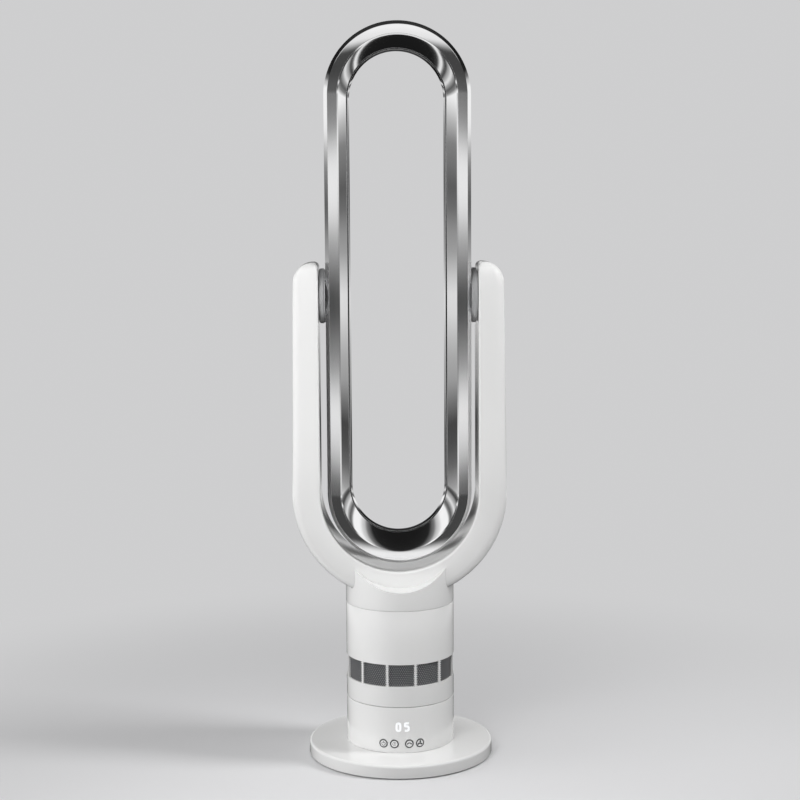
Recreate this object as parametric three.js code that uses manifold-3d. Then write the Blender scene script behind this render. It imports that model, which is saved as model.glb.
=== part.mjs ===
// Bladeless tower fan, in millimetres, +Z up, front towards -Y, +X to the viewer's right.
// The origin is the middle of the foot, on the floor.
//
// From the floor up: a weighted round base, a fixed control collar, a round intake body
// that swivels on the collar, a hollow U-shaped yoke, and a hollow stadium-shaped loop
// that tilts between the yoke's arms. Air enters through the windows in the intake body,
// an impeller drives it up through the yoke and the hubs, and it leaves by a thin slot
// all round the back of the loop's inner face.

import * as THREE from 'three';
import { mergeVertices } from 'three/addons/utils/BufferGeometryUtils.js';
import Module from 'manifold-3d';

const wasm = await Module();
wasm.setup();

// ---------------------------------------------------------------- driving sizes

const FIT = 0.3;                 // gap between pieces that touch
const WALL = 2.5;                // moulded walls of base, collar, body and yoke

const FOOT_HEIGHT = 2.6;
const FOOT_INNER_RADIUS = 92;
const FOOT_WIDTH = 14;

const BASE_RADIUS = 116;
const BASE_LIFT = 1.5;           // skirt above the floor
const BASE_HEIGHT = 16;          // skirt edge to top face
const BASE_EDGE = 3;             // rounding of the top edge
const BASE_CHAMFER = 0.7;        // at the skirt's lower edge
const BALLAST_THICKNESS = 3.5;

const BODY_RADIUS = 68;          // collar, intake body and neck
const COLLAR_HEIGHT = 57.2;
const SWIVEL_SEAM = 0.8;         // running gap between the collar and the body above it
const INTAKE_HEIGHT = 120.4;
const NECK_SEAM = 0.4;
const NECK_HEIGHT = 22.9;        // at the middle of the front, up to the scooped ledge

const WINDOW_COUNT = 12;
const WINDOW_BOTTOM = 25.7;      // above the body's lower edge
const WINDOW_HEIGHT = 27.7;
const WINDOW_RIB = 3.5;
const SCREEN_THICKNESS = 1;
const SCREEN_SLOTS = 4;          // slots in each window, which stand for its fine holes
const SCREEN_SLOT_HEIGHT = 3;

const BUTTON_RADIUS = 5.3;
const BUTTON_LIP = 0.9;          // flange that keeps a button in its hole
const BUTTON_HEIGHT = 11.6;      // centre above the collar's lower edge
const BUTTON_OFFSETS = [-22.9, -9.0, 9.0, 22.9];   // along the front, from the middle
const BUTTON_NAMES = ['power', 'timer', 'swing', 'speed'];
const BUTTON_TRAVEL = 0.8;
const STEM_SPARE = 0.1;          // left between a stem and its switch at full travel
const DISPLAY_HEIGHT = 32.8;     // centre of the digits above the collar's lower edge
const DISPLAY_SIZE = [30, 16];
const BOARD_THICKNESS = 1.6;
const BOARD_SETBACK = 18;        // control board behind the front of the collar

const SPINDLE_RADIUS = 18;
const SPINDLE_WALL = 4;
const GEAR_MODULE = 1.5;
const GEAR_WIDTH = 6;
const GEAR_BACKLASH = 0.5;
const PINION_TEETH = 10;
const STEPPER_RADIUS = 14;
const STEPPER_HEIGHT = 19;
const STEPPER_SHAFT_RADIUS = 2.5;
const STEPPER_MARGIN = 7;        // free space between the stepper and the collar wall

const IMPELLER_BLADES = 9;
const IMPELLER_TIP_GAP = 1.2;
const IMPELLER_HEIGHT = 20;
const IMPELLER_SWEEP = 0.75;     // turn of a blade from its foot to its top, radians
const DIFFUSER_VANES = 7;
const MOTOR_RADIUS = 26;
const MOTOR_HEIGHT = 19;
const MOTOR_SHAFT_RADIUS = 2.5;

const LOOP_WIDTH = 178.6;
const LOOP_HEIGHT = 663.4;
const LOOP_FRONT = 40;           // ridge in front of the tilt axis
const LOOP_BACK = 40;
const LOOP_WALL = 2.2;
const LOOP_SHOULDER = 28;        // widest point in front of the tilt axis
const LOOP_RIDGE_INSET = 17.8;
const LOOP_LIMB = 30.7;          // outer edge to the innermost line, at the back
const LOOP_PARTING = 6;          // joint of its two shells, behind the tilt axis
const LOOP_TAIL_INSET = 27.2;    // outer edge to the tail of the inner face, before the slot
const TAIL_SETBACK = 10;         // tail in front of the loop's back
const AIR_SLOT = 1.6;            // tail to the rear shell's lip, front to back
const LIP_STEP = 1.2;            // lip beyond the tail, towards the middle of the loop
const LIP_EDGE = 1.4;            // thickness of the lip where the air leaves

const HUB_GAP = 8.7;             // loop to yoke, at each side
const HUB_INSET = 4;             // hub's rim behind the yoke's front face
const SPIGOT_WALL = 3;
const BUSH_WALL = 2.7;
const BUSH_MARGIN = 2.2;         // bush hole to the yoke's parting line
const SPIGOT_LENGTH = 14.3;      // beyond the inner face of the yoke's arm
const CLIP_THICKNESS = 2.2;
const CLIP_DEPTH = 6;

const YOKE_DEPTH = 76;           // front face to back face
const YOKE_BAND = 35;            // width of the U seen from the front
const YOKE_TAPER = 3.8;          // the arms are this much slimmer at the top
const YOKE_EDGE = 6;             // rounding of the front and back edges
const YOKE_PARTING = 12;         // joint of its two shells, behind the front face
const YOKE_CORNER = 24;          // outer rounding of the arm tops
const YOKE_INNER_CORNER = 6.8;
const YOKE_FLOOR_GAP = 10.5;     // loop above the bottom of the U
const YOKE_LEDGE = 19.5;         // bottom of the U above the neck's ledge
const LEDGE_RADIUS = 76;         // of the scoop in the neck's top
const ARM_RISE = 41.8;           // arm tops above the tilt axis
const YOKE_THROAT_RADIUS = 50;   // air passage from the neck into the yoke

// ---------------------------------------------------------------- sizes that follow

const baseTop = BASE_LIFT + BASE_HEIGHT;
const ballastBottom = FOOT_HEIGHT + FIT;
const ballastTop = ballastBottom + BALLAST_THICKNESS;
const collarBottom = baseTop + FIT;
const bodyBottom = collarBottom + COLLAR_HEIGHT + SWIVEL_SEAM;
const bodyInner = BODY_RADIUS - WALL;
const insertRadius = bodyInner - FIT;          // whatever slips inside the round shells

const loopHalf = LOOP_WIDTH / 2;
const yokeInner = loopHalf + HUB_GAP;
const yokeOuter = yokeInner + YOKE_BAND;
const neckBottom = INTAKE_HEIGHT + NECK_SEAM;  // above the body's lower edge
const ledgeHeight = neckBottom + NECK_HEIGHT;
const yokeCentre = ledgeHeight + yokeInner + YOKE_LEDGE;   // of the U's arcs, above bodyBottom
const pivotHeight = yokeCentre - yokeInner + YOKE_FLOOR_GAP + LOOP_HEIGHT / 2;
const pivotAboveYoke = pivotHeight - yokeCentre;

// ---------------------------------------------------------------- solids

const ROUND = 24;                // sides of a turned piece
const SHELL_ROUND = 40;          // sides of the outer shells

// A closed mesh as a solid, with doubled points merged and its faces pointing out.
function solid(geometry) {
  const bare = new THREE.BufferGeometry();
  bare.setAttribute('position', geometry.getAttribute('position').clone());
  if (geometry.index) bare.setIndex(geometry.index.clone());
  const merged = mergeVertices(bare, 1e-4);
  const points = merged.getAttribute('position').array;
  const corners = [];
  let volume = 0;
  const a = new THREE.Vector3();
  const b = new THREE.Vector3();
  const c = new THREE.Vector3();
  for (let i = 0; i < merged.index.count; i += 3) {
    const [p, q, r] = merged.index.array.slice(i, i + 3);
    if (p === q || q === r || r === p) continue;
    corners.push(p, q, r);
    a.fromArray(points, 3 * p);
    b.fromArray(points, 3 * q);
    c.fromArray(points, 3 * r);
    volume += a.dot(b.cross(c));
  }
  if (volume < 0) corners.reverse();
  return new wasm.Manifold(new wasm.Mesh({
    numProp: 3,
    vertProperties: Float32Array.from(points),
    triVerts: Uint32Array.from(corners),
  }));
}

function cut(body, ...tools) {
  return tools.reduce((rest, tool) => rest.subtract(tool), body);
}

function join(first, ...others) {
  return others.reduce((sum, other) => sum.add(other), first);
}

// A ring or drum round +Z from its [radius, height] outline.
function turned(outline, segments = ROUND) {
  const onAxis = outline[0][0] === 0;
  const points = (onAxis ? outline : [...outline, outline[0]]).map(([r, z]) => new THREE.Vector2(r, z));
  return new THREE.LatheGeometry(points, segments).rotateX(Math.PI / 2);
}

function ring(inner, outer, low, high, segments = ROUND) {
  return turned([[inner, low], [outer, low], [outer, high], [inner, high]], segments);
}

function drum(radius, low, high, segments = 16) {
  return turned([[0, low], [radius, low], [radius, high], [0, high]], segments);
}

function block(width, depth, height, x, y, z) {
  return new THREE.BoxGeometry(width, depth, height).translate(x, y, z);
}

// Turns a shape made round +Z to lie along +X or +Y.
const alongX = (geometry) => geometry.rotateY(Math.PI / 2);
const alongY = (geometry) => geometry.rotateX(-Math.PI / 2);

// Even places round a circle, as [x, y, angle].
function aroundCircle(count, radius, start = 0) {
  return Array.from({ length: count }, (_, i) => {
    const angle = start + (2 * Math.PI * i) / count;
    return [radius * Math.cos(angle), radius * Math.sin(angle), angle];
  });
}

// ---------------------------------------------------------------- finishes and nodes

const FINISHES = {
  glossWhite: { color: 0xf2f2f1, roughness: 0.18, metalness: 0 },
  satinSilver: { color: 0xa4a5a8, roughness: 0.22, metalness: 1 },
  hubGrey: { color: 0x8b8c8f, roughness: 0.35, metalness: 0.8 },
  darkScreen: { color: 0x3a3b3d, roughness: 0.6, metalness: 0.2 },
  rubber: { color: 0x1c1c1d, roughness: 0.9, metalness: 0 },
  steel: { color: 0x8e9194, roughness: 0.4, metalness: 1 },
  greyPlastic: { color: 0x55575b, roughness: 0.6, metalness: 0 },
  slipPlastic: { color: 0xe4e2da, roughness: 0.5, metalness: 0 },
  board: { color: 0x1f5a3a, roughness: 0.5, metalness: 0 },
  brass: { color: 0xb08a3e, roughness: 0.35, metalness: 1 },
};

function addPiece(group, name, shape, finish) {
  let geometry = shape;
  if (!shape.isBufferGeometry) {
    const { vertProperties, triVerts } = shape.getMesh();
    geometry = new THREE.BufferGeometry();
    geometry.setAttribute('position', new THREE.BufferAttribute(Float32Array.from(vertProperties), 3));
    geometry.setIndex(new THREE.BufferAttribute(Uint32Array.from(triVerts), 1));
    geometry.computeVertexNormals();
  }
  const mesh = new THREE.Mesh(geometry, new THREE.MeshStandardMaterial(FINISHES[finish]));
  mesh.name = name;
  group.add(mesh);
  return mesh;
}

const fan = new THREE.Group();

function addGroup(parent, height) {
  const group = new THREE.Group();
  group.position.z = height;
  parent.add(group);
  return group;
}

// A pan-head screw, its head's seat at height 0 and its shank pointing up.
const SCREW_SHANK = 1.4;
const SCREW_HOLE = SCREW_SHANK + FIT;
const SCREW_HEAD = 2.4;
const SCREW_HEAD_HEIGHT = 1.3;

function screw(length) {
  return turned([
    [0, -SCREW_HEAD_HEIGHT], [SCREW_HEAD * 0.7, -SCREW_HEAD_HEIGHT], [SCREW_HEAD, 0],
    [SCREW_SHANK, 0], [SCREW_SHANK, length], [0, length],
  ], 8);
}

// ---------------------------------------------------------------- base

const base = addGroup(fan, 0);
const BOSS_INSET = 9;
const BOSS_WIDTH = 6;
const SCREW_GRIP = 6;                          // thread of a base screw beyond the ballast
const bossRadius = BODY_RADIUS - BOSS_INSET;   // ring under the collar that bears on the ballast
const baseScrewLength = BALLAST_THICKNESS + SCREW_GRIP;

addPiece(base, 'foot_ring',
  solid(ring(FOOT_INNER_RADIUS, FOOT_INNER_RADIUS + FOOT_WIDTH, 0, FOOT_HEIGHT)), 'rubber');

const ballastHoles = aroundCircle(3, bossRadius, Math.PI / 6)
  .map(([x, y]) => solid(drum(SCREW_HOLE, 0, baseTop, 12).translate(x, y, 0)));
addPiece(base, 'ballast_plate', cut(
  solid(drum(BASE_RADIUS - WALL - 2 * FIT, ballastBottom, ballastTop, SHELL_ROUND)),
  ...ballastHoles,
), 'steel');

const coverUnderside = baseTop - WALL;
const bossFoot = ballastTop + FIT;
const blindHoles = aroundCircle(3, bossRadius, Math.PI / 6)
  .map(([x, y]) => solid(drum(SCREW_HOLE, 0, coverUnderside, 12).translate(x, y, 0)));
const coverRim = solid(turned([
  [BASE_RADIUS - WALL, BASE_LIFT], [BASE_RADIUS - BASE_CHAMFER, BASE_LIFT],
  [BASE_RADIUS, BASE_LIFT + BASE_CHAMFER],
  [BASE_RADIUS, baseTop - BASE_EDGE], [BASE_RADIUS - BASE_EDGE * 0.3, baseTop - BASE_EDGE * 0.3],
  [BASE_RADIUS - BASE_EDGE, baseTop], [bossRadius - BOSS_WIDTH / 2, baseTop],
  [bossRadius - BOSS_WIDTH / 2, bossFoot], [bossRadius + BOSS_WIDTH / 2, bossFoot],
  [bossRadius + BOSS_WIDTH / 2, coverUnderside], [BASE_RADIUS - WALL, coverUnderside],
], SHELL_ROUND));
const coverMiddle = solid(drum(bossRadius, coverUnderside, baseTop, SHELL_ROUND));
addPiece(base, 'base_cover', cut(join(coverRim, coverMiddle), ...blindHoles), 'glossWhite');

aroundCircle(3, bossRadius, Math.PI / 6).forEach(([x, y], i) => {
  const piece = addPiece(base, `base_screw_${i + 1}`, solid(screw(baseScrewLength)), 'steel');
  piece.position.set(x, y, ballastBottom - FIT / 2);
});

// ---------------------------------------------------------------- collar and what it holds

const collar = addGroup(fan, collarBottom);
const PLATE_THICKNESS = 3;                     // bearing plate, and the turntable on it
const LEDGE_DEPTH = 6;
const PLATE_DROP = 5.2;                        // bearing plate below the collar's upper edge
const FLOOR_FLANGE = 7.5;                      // inward flange at the collar's foot
const plateTop = COLLAR_HEIGHT - PLATE_DROP;
const plateBottom = plateTop - PLATE_THICKNESS;
const rimTop = plateBottom - FIT;
const rimBottom = rimTop - WALL;
const flangeInner = bodyInner - FLOOR_FLANGE;
const plateScrewRadius = bodyInner - LEDGE_DEPTH / 2;

const boardFront = -(BODY_RADIUS - BOARD_SETBACK) - BOARD_THICKNESS / 2;
const boardBack = boardFront + BOARD_THICKNESS;
const SWITCH_HEIGHT = 2.4;
const switchFront = boardFront - SWITCH_HEIGHT;
const stemEnd = switchFront - BUTTON_TRAVEL - STEM_SPARE;
const STEM_RADIUS = 2;
const buttonAngles = BUTTON_OFFSETS.map((offset) => offset / BODY_RADIUS);

// A shape made along +Z, laid so that it points out of the collar's front at an angle.
function outOfFront(geometry, angle, height) {
  return geometry.rotateX(Math.PI / 2).rotateZ(angle).translate(0, 0, height);
}

const INLET_RADIUS = 5.5;
const INLET_HEIGHT = 14;
const inletHole = solid(alongY(drum(INLET_RADIUS + FIT, bodyInner - WALL, BODY_RADIUS + WALL))
  .translate(0, 0, INLET_HEIGHT));
const buttonHoles = buttonAngles.map((angle) => solid(
  outOfFront(drum(BUTTON_RADIUS + FIT, bodyInner - WALL, BODY_RADIUS + WALL), angle, BUTTON_HEIGHT)));
const rimHoles = aroundCircle(3, plateScrewRadius, Math.PI / 2)
  .map(([x, y]) => solid(drum(SCREW_HOLE, rimBottom - LEDGE_DEPTH, plateTop + WALL, 12).translate(x, y, 0)));

addPiece(collar, 'collar_shell', cut(solid(turned([
  [flangeInner, 0], [BODY_RADIUS, 0], [BODY_RADIUS, COLLAR_HEIGHT], [bodyInner, COLLAR_HEIGHT],
  [bodyInner, rimTop], [bodyInner - LEDGE_DEPTH, rimTop], [bodyInner - LEDGE_DEPTH, rimBottom],
  [bodyInner, rimBottom - LEDGE_DEPTH / 2], [bodyInner, WALL], [flangeInner, WALL],
], SHELL_ROUND)), inletHole, ...buttonHoles, ...rimHoles), 'glossWhite');

addPiece(collar, 'bearing_plate', cut(
  solid(ring(SPINDLE_RADIUS + FIT, insertRadius, plateBottom, plateTop)), ...rimHoles,
), 'greyPlastic');

aroundCircle(3, plateScrewRadius, Math.PI / 2).forEach(([x, y], i) => {
  const piece = addPiece(collar, `plate_screw_${i + 1}`, solid(screw(PLATE_THICKNESS + WALL)), 'steel');
  piece.rotation.x = Math.PI;
  piece.position.set(x, y, plateTop + FIT / 3);
});

const GLIDE_THICKNESS = 1.5;
const GLIDE_WIDTH = 8;
const GLIDE_INSET = 13.5;
const glideRadius = bodyInner - GLIDE_INSET;
addPiece(collar, 'glide_ring', solid(
  ring(glideRadius - GLIDE_WIDTH / 2, glideRadius + GLIDE_WIDTH / 2,
    plateTop + FIT, plateTop + FIT + GLIDE_THICKNESS)), 'slipPlastic');

// The gear pair takes the largest ring gear that leaves the stepper inside the collar.
const GEAR_SPREAD = 0.15;                      // added to the distance between the two axes
const GEAR_DROP = 2.8;                         // gear below the bearing plate
const STEPPER_DROP = 5;                        // stepper's can below the gear
const TOOTH_TIP = 0.85;                        // in modules, beyond the pitch circle
const TOOTH_ROOT = 1.2;                        // in modules, within it
const PRESSURE_ANGLE = 20;
const stepperReach = bodyInner - STEPPER_MARGIN - STEPPER_RADIUS;
const gearTeeth = Math.floor((2 * stepperReach) / GEAR_MODULE) - PINION_TEETH;
const pinionDistance = (GEAR_MODULE * (gearTeeth + PINION_TEETH)) / 2 + GEAR_SPREAD;
const gearTop = plateBottom - GEAR_DROP;
const gearBottom = gearTop - GEAR_WIDTH;
const stepperTop = gearBottom - STEPPER_DROP;
const stepperBottom = stepperTop - STEPPER_HEIGHT;

// Straight-sided teeth, thinned by the backlash, with the bore as a hole.
function gear(teeth, bore, low, high, phase) {
  const pitch = (GEAR_MODULE * teeth) / 2;
  const tip = pitch + TOOTH_TIP * GEAR_MODULE;
  const root = pitch - TOOTH_ROOT * GEAR_MODULE;
  const half = (Math.PI * GEAR_MODULE) / 4 - GEAR_BACKLASH / 2;
  const slope = Math.tan(THREE.MathUtils.degToRad(PRESSURE_ANGLE));
  const halfTip = (half - slope * (tip - pitch)) / tip;
  const halfRoot = (half + 0.6 * slope * (pitch - root)) / root;
  const points = [];
  aroundCircle(teeth, 1, phase).forEach(([, , angle]) => {
    for (const [radius, turn] of [[root, -halfRoot], [tip, -halfTip], [tip, halfTip], [root, halfRoot]]) {
      points.push(new THREE.Vector2(radius * Math.cos(angle + turn), radius * Math.sin(angle + turn)));
    }
  });
  const shape = new THREE.Shape(points);
  shape.holes.push(new THREE.Path().absarc(0, 0, bore, 0, 2 * Math.PI, true));
  return new THREE.ExtrudeGeometry(shape, { depth: high - low, bevelEnabled: false, curveSegments: 12 })
    .translate(0, 0, low);
}

const stepper = addGroup(collar, 0);
stepper.position.x = pinionDistance;
const shaftDepth = 7;                          // how far the stepper's shaft enters its can
addPiece(stepper, 'stepper_motor', cut(
  join(
    solid(drum(STEPPER_RADIUS, stepperBottom, stepperTop)),
    solid(drum(STEPPER_SHAFT_RADIUS + 2, stepperTop - 1, stepperTop + 2)),
    solid(block(7, 2 * STEPPER_RADIUS + 8, 1, 0, 0, stepperTop - 0.5)),
  ),
  solid(drum(STEPPER_SHAFT_RADIUS + FIT, stepperTop - shaftDepth, stepperTop + WALL)),
), 'steel');
addPiece(stepper, 'stepper_shaft', solid(
  drum(STEPPER_SHAFT_RADIUS, stepperTop - shaftDepth + FIT, gearTop + 1)), 'steel');
addPiece(stepper, 'drive_pinion', solid(
  gear(PINION_TEETH, STEPPER_SHAFT_RADIUS + FIT, gearBottom - 0.5, gearTop + 0.5, Math.PI)), 'brass');

// Chassis: a floor plate with a pedestal for the stepper and posts for the two boards.
const chassisBottom = WALL + FIT;
const chassisTop = chassisBottom + 2;
const postWidth = 6;
const postReach = Math.sqrt(insertRadius ** 2 - (boardFront - postWidth / 2) ** 2) - 2;
const boardHalf = postReach - postWidth / 2 - FIT;
const boardTop = DISPLAY_HEIGHT + DISPLAY_SIZE[1] / 2 + 1;
const postHeight = boardTop - 6 - chassisTop;
const boardMiddle = (boardFront + boardBack) / 2;
const boardSlot = solid(block(2 * (boardHalf + FIT), BOARD_THICKNESS + 2 * FIT, boardTop,
  0, boardMiddle, chassisTop + boardTop / 2));
const posts = [-1, 1].map((side) => solid(block(postWidth, postWidth, postHeight + 1,
  side * (postReach - postWidth / 2), boardMiddle, chassisTop + postHeight / 2 - 0.5)));
const POWER_BOARD_MARGIN = 6.4;                // beside the stepper's can
const POWER_BOARD = { half: pinionDistance - STEPPER_RADIUS - POWER_BOARD_MARGIN, back: 20, lift: 4 };
const powerFront = boardBack + 7;
const STANDOFF_INSET = 4;
const standoffs = [powerFront + STANDOFF_INSET, POWER_BOARD.back - STANDOFF_INSET].flatMap((y) =>
  [-1, 1].map((side) => solid(drum(2.5, chassisTop - 1, chassisTop + POWER_BOARD.lift, 12)
    .translate(side * (POWER_BOARD.half - STANDOFF_INSET), y, 0))));
addPiece(collar, 'chassis', cut(
  join(
    solid(drum(insertRadius, chassisBottom, chassisTop, ROUND)),
    solid(drum(STEPPER_RADIUS + 1, chassisTop - 1, stepperBottom - FIT).translate(pinionDistance, 0, 0)),
    ...posts,
    ...standoffs,
  ),
  boardSlot,
), 'greyPlastic');

// Power board with its transformer and a capacitor.
const powerBottom = chassisTop + POWER_BOARD.lift + FIT;
const powerTop = powerBottom + BOARD_THICKNESS;
addPiece(collar, 'power_board', join(
  solid(block(2 * POWER_BOARD.half, POWER_BOARD.back - powerFront, BOARD_THICKNESS,
    0, (POWER_BOARD.back + powerFront) / 2, powerBottom + BOARD_THICKNESS / 2)),
  solid(block(16, 14, 13, -10, powerFront + 12, powerTop + 6)),
  solid(drum(6, powerTop - 0.5, powerTop + 14, 16).translate(12, powerFront + 12, 0)),
), 'board');

// Control board: a key switch behind each button, and the display block above them.
const switchMiddle = switchFront + (SWITCH_HEIGHT + 0.5) / 2;
const switches = buttonAngles.map((angle) => solid(
  block(6, SWITCH_HEIGHT + 0.5, 6, -stemEnd * Math.tan(angle), switchMiddle, BUTTON_HEIGHT)));
addPiece(collar, 'control_board', join(
  solid(block(2 * boardHalf, BOARD_THICKNESS, boardTop - chassisTop - FIT,
    0, boardMiddle, (boardTop + chassisTop + FIT) / 2)),
  ...switches,
), 'board');

const displayReach = Math.sqrt(bodyInner ** 2 - (DISPLAY_SIZE[0] / 2) ** 2) - 2 * FIT;
const displayBack = -boardFront + FIT;
addPiece(collar, 'display_module', solid(block(DISPLAY_SIZE[0], displayReach - displayBack, DISPLAY_SIZE[1],
  0, -(displayReach + displayBack) / 2, DISPLAY_HEIGHT)), 'greyPlastic');

// Push buttons: a round cap, a lip behind the wall, and a stem that ends short of its switch.
const lipRadius = BUTTON_RADIUS + BUTTON_LIP;
const lipFront = Math.sqrt(bodyInner ** 2 - lipRadius ** 2) - FIT;
buttonAngles.forEach((angle, i) => {
  const stemFoot = -stemEnd / Math.cos(angle) + STEM_RADIUS * Math.tan(Math.abs(angle));
  const outline = [
    [0, stemFoot], [STEM_RADIUS, stemFoot], [STEM_RADIUS, lipFront - 2], [lipRadius, lipFront - 2],
    [lipRadius, lipFront], [BUTTON_RADIUS, lipFront], [BUTTON_RADIUS, BODY_RADIUS + FIT],
    [0, BODY_RADIUS + FIT],
  ];
  const piece = addPiece(collar, `${BUTTON_NAMES[i]}_button`, solid(turned(outline, 16).rotateX(Math.PI / 2)),
    'glossWhite');
  piece.rotation.z = angle;
  piece.position.z = BUTTON_HEIGHT;
});

// Low-voltage inlet at the back, a blind socket round a centre pin, clamped by its flange.
const SOCKET_RADIUS = 2.85;
const SOCKET_DEPTH = 10;
const SOCKET_PIN_RADIUS = 1;
const INLET_FLANGE_RADIUS = 8;
const INLET_LENGTH = 16;
const inletFace = BODY_RADIUS - 0.4;
const inletFoot = inletFace - INLET_LENGTH;
const inletFlange = Math.sqrt(bodyInner ** 2 - INLET_FLANGE_RADIUS ** 2) - FIT;
const inletSolid = (geometry) => solid(alongY(geometry).translate(0, 0, INLET_HEIGHT));
addPiece(collar, 'power_inlet', join(
  cut(
    inletSolid(turned([
      [0, inletFoot], [INLET_RADIUS, inletFoot], [INLET_RADIUS, inletFlange - WALL],
      [INLET_FLANGE_RADIUS, inletFlange - WALL], [INLET_FLANGE_RADIUS, inletFlange],
      [INLET_RADIUS, inletFlange],
      [INLET_RADIUS, inletFace], [0, inletFace],
    ])),
    inletSolid(drum(SOCKET_RADIUS, inletFace - SOCKET_DEPTH, inletFace + 1, 20)),
  ),
  inletSolid(drum(SOCKET_PIN_RADIUS, inletFace - SOCKET_DEPTH - 1, inletFace - 1, 12)),
), 'greyPlastic');

// ---------------------------------------------------------------- swivel

// Turntable: a disc on the glide ring, with a hollow spindle down through the bearing plate.
const tableBottom = plateTop + GLIDE_THICKNESS + 2 * FIT;
const tableTop = COLLAR_HEIGHT - 0.4;
const bossTop = COLLAR_HEIGHT + SWIVEL_SEAM - FIT;
const SPINDLE_END = 5;                         // spindle beyond the gear
const FLOOR_HOLE_MARGIN = 10;                  // spindle's bore to the edge of the body's floor
const spindleFoot = gearBottom - SPINDLE_END;
const clipTop = gearBottom - FIT;
const clipBottom = clipTop - CLIP_THICKNESS;
const GROOVE_DEPTH = 1.4;
const spindleBore = SPINDLE_RADIUS - SPINDLE_WALL;
addPiece(collar, 'turntable', solid(turned([
  [spindleBore, spindleFoot], [SPINDLE_RADIUS, spindleFoot], [SPINDLE_RADIUS, clipBottom - FIT],
  [SPINDLE_RADIUS - GROOVE_DEPTH, clipBottom - FIT], [SPINDLE_RADIUS - GROOVE_DEPTH, clipTop + FIT],
  [SPINDLE_RADIUS, clipTop + FIT], [SPINDLE_RADIUS, tableBottom], [insertRadius - FIT, tableBottom],
  [insertRadius - FIT, tableTop], [insertRadius - 3, tableTop], [insertRadius - 3, bossTop],
  [spindleBore + 22, bossTop], [spindleBore + 22, tableTop], [spindleBore, tableTop],
])), 'greyPlastic');
addPiece(collar, 'swivel_gear', solid(
  gear(gearTeeth, SPINDLE_RADIUS + FIT, gearBottom, gearTop, Math.PI / gearTeeth)), 'slipPlastic');

// A C-shaped snap ring round +Z, open at one side.
function snapRing(inner, low, high) {
  const outer = inner + CLIP_DEPTH;
  return cut(solid(ring(inner, outer, low, high)),
    solid(block(2 * outer, inner * 0.5, high - low + 2, outer * 1.4, 0, (low + high) / 2)));
}
addPiece(collar, 'spindle_clip', snapRing(SPINDLE_RADIUS - GROOVE_DEPTH + FIT, clipBottom, clipTop), 'steel');

// ---------------------------------------------------------------- intake body

const body = addGroup(fan, bodyBottom);
const windowHalf = Math.PI / WINDOW_COUNT - WINDOW_RIB / 2 / BODY_RADIUS;

// A wedge through the wall at one angle, for a window or a slot.
function wedge(middle, half, inner, outer, low, high) {
  const reach = [[inner, -half], [outer, -half], [outer, half], [inner, half]];
  const shape = new THREE.Shape(reach.map(([r, turn]) =>
    new THREE.Vector2(r * Math.cos(middle + turn), r * Math.sin(middle + turn))));
  return new THREE.ExtrudeGeometry(shape, { depth: high - low, bevelEnabled: false }).translate(0, 0, low);
}

const windowAngles = aroundCircle(WINDOW_COUNT, 1, -Math.PI / 2).map(([, , angle]) => angle);
const windowTop = WINDOW_BOTTOM + WINDOW_HEIGHT;
const windows = windowAngles.map((angle) => solid(
  wedge(angle, windowHalf, bodyInner - WALL, BODY_RADIUS + WALL, WINDOW_BOTTOM, windowTop)));
addPiece(body, 'intake_shell', cut(solid(turned([
  [spindleBore + FLOOR_HOLE_MARGIN, 0], [BODY_RADIUS, 0], [BODY_RADIUS, INTAKE_HEIGHT],
  [bodyInner, INTAKE_HEIGHT], [bodyInner, WALL], [spindleBore + FLOOR_HOLE_MARGIN, WALL],
], SHELL_ROUND)), ...windows), 'glossWhite');

// Perforated screen behind the windows, its fine holes drawn here as a few slots in each.
const SCREEN_MARGIN = 4.5;
const screenBottom = WINDOW_BOTTOM - SCREEN_MARGIN;
const screenTop = windowTop + SCREEN_MARGIN;
const slotPitch = WINDOW_HEIGHT / SCREEN_SLOTS;
const screenSlots = windowAngles.flatMap((angle) => Array.from({ length: SCREEN_SLOTS }, (_, i) => {
  const low = WINDOW_BOTTOM + slotPitch * (i + 0.5) - SCREEN_SLOT_HEIGHT / 2;
  const high = low + SCREEN_SLOT_HEIGHT;
  return solid(wedge(angle, windowHalf * 0.8, insertRadius - WALL, insertRadius + WALL, low, high));
}));
addPiece(body, 'intake_screen', cut(
  solid(ring(insertRadius - SCREEN_THICKNESS, insertRadius, screenBottom, screenTop)), ...screenSlots,
), 'darkScreen');

// Inlet funnel above the screen.
const funnelBottom = screenTop + FIT;
const THROAT_INSET = 19;
const HOUSING_INSET = 12.5;
const HOUSING_DROP = 8.4;                      // housing below the body's upper edge
const CUP_MARGIN = 8;                            // motor's cup beyond the motor
const IMPELLER_LIFT = 8.7;                     // impeller above the funnel's underside
const throatRadius = bodyInner - THROAT_INSET;
addPiece(body, 'inlet_funnel', solid(turned([
  [insertRadius, funnelBottom], [insertRadius, funnelBottom + WALL], [throatRadius + 7, funnelBottom + WALL],
  [throatRadius + 3.2, funnelBottom + 4.2], [throatRadius + 2.2, funnelBottom + 7.2],
  [throatRadius, funnelBottom + 7.2], [throatRadius + 0.8, funnelBottom + 3.2],
  [throatRadius + 4, funnelBottom + 0.6], [throatRadius + 8, funnelBottom],
])), 'greyPlastic');

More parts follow.
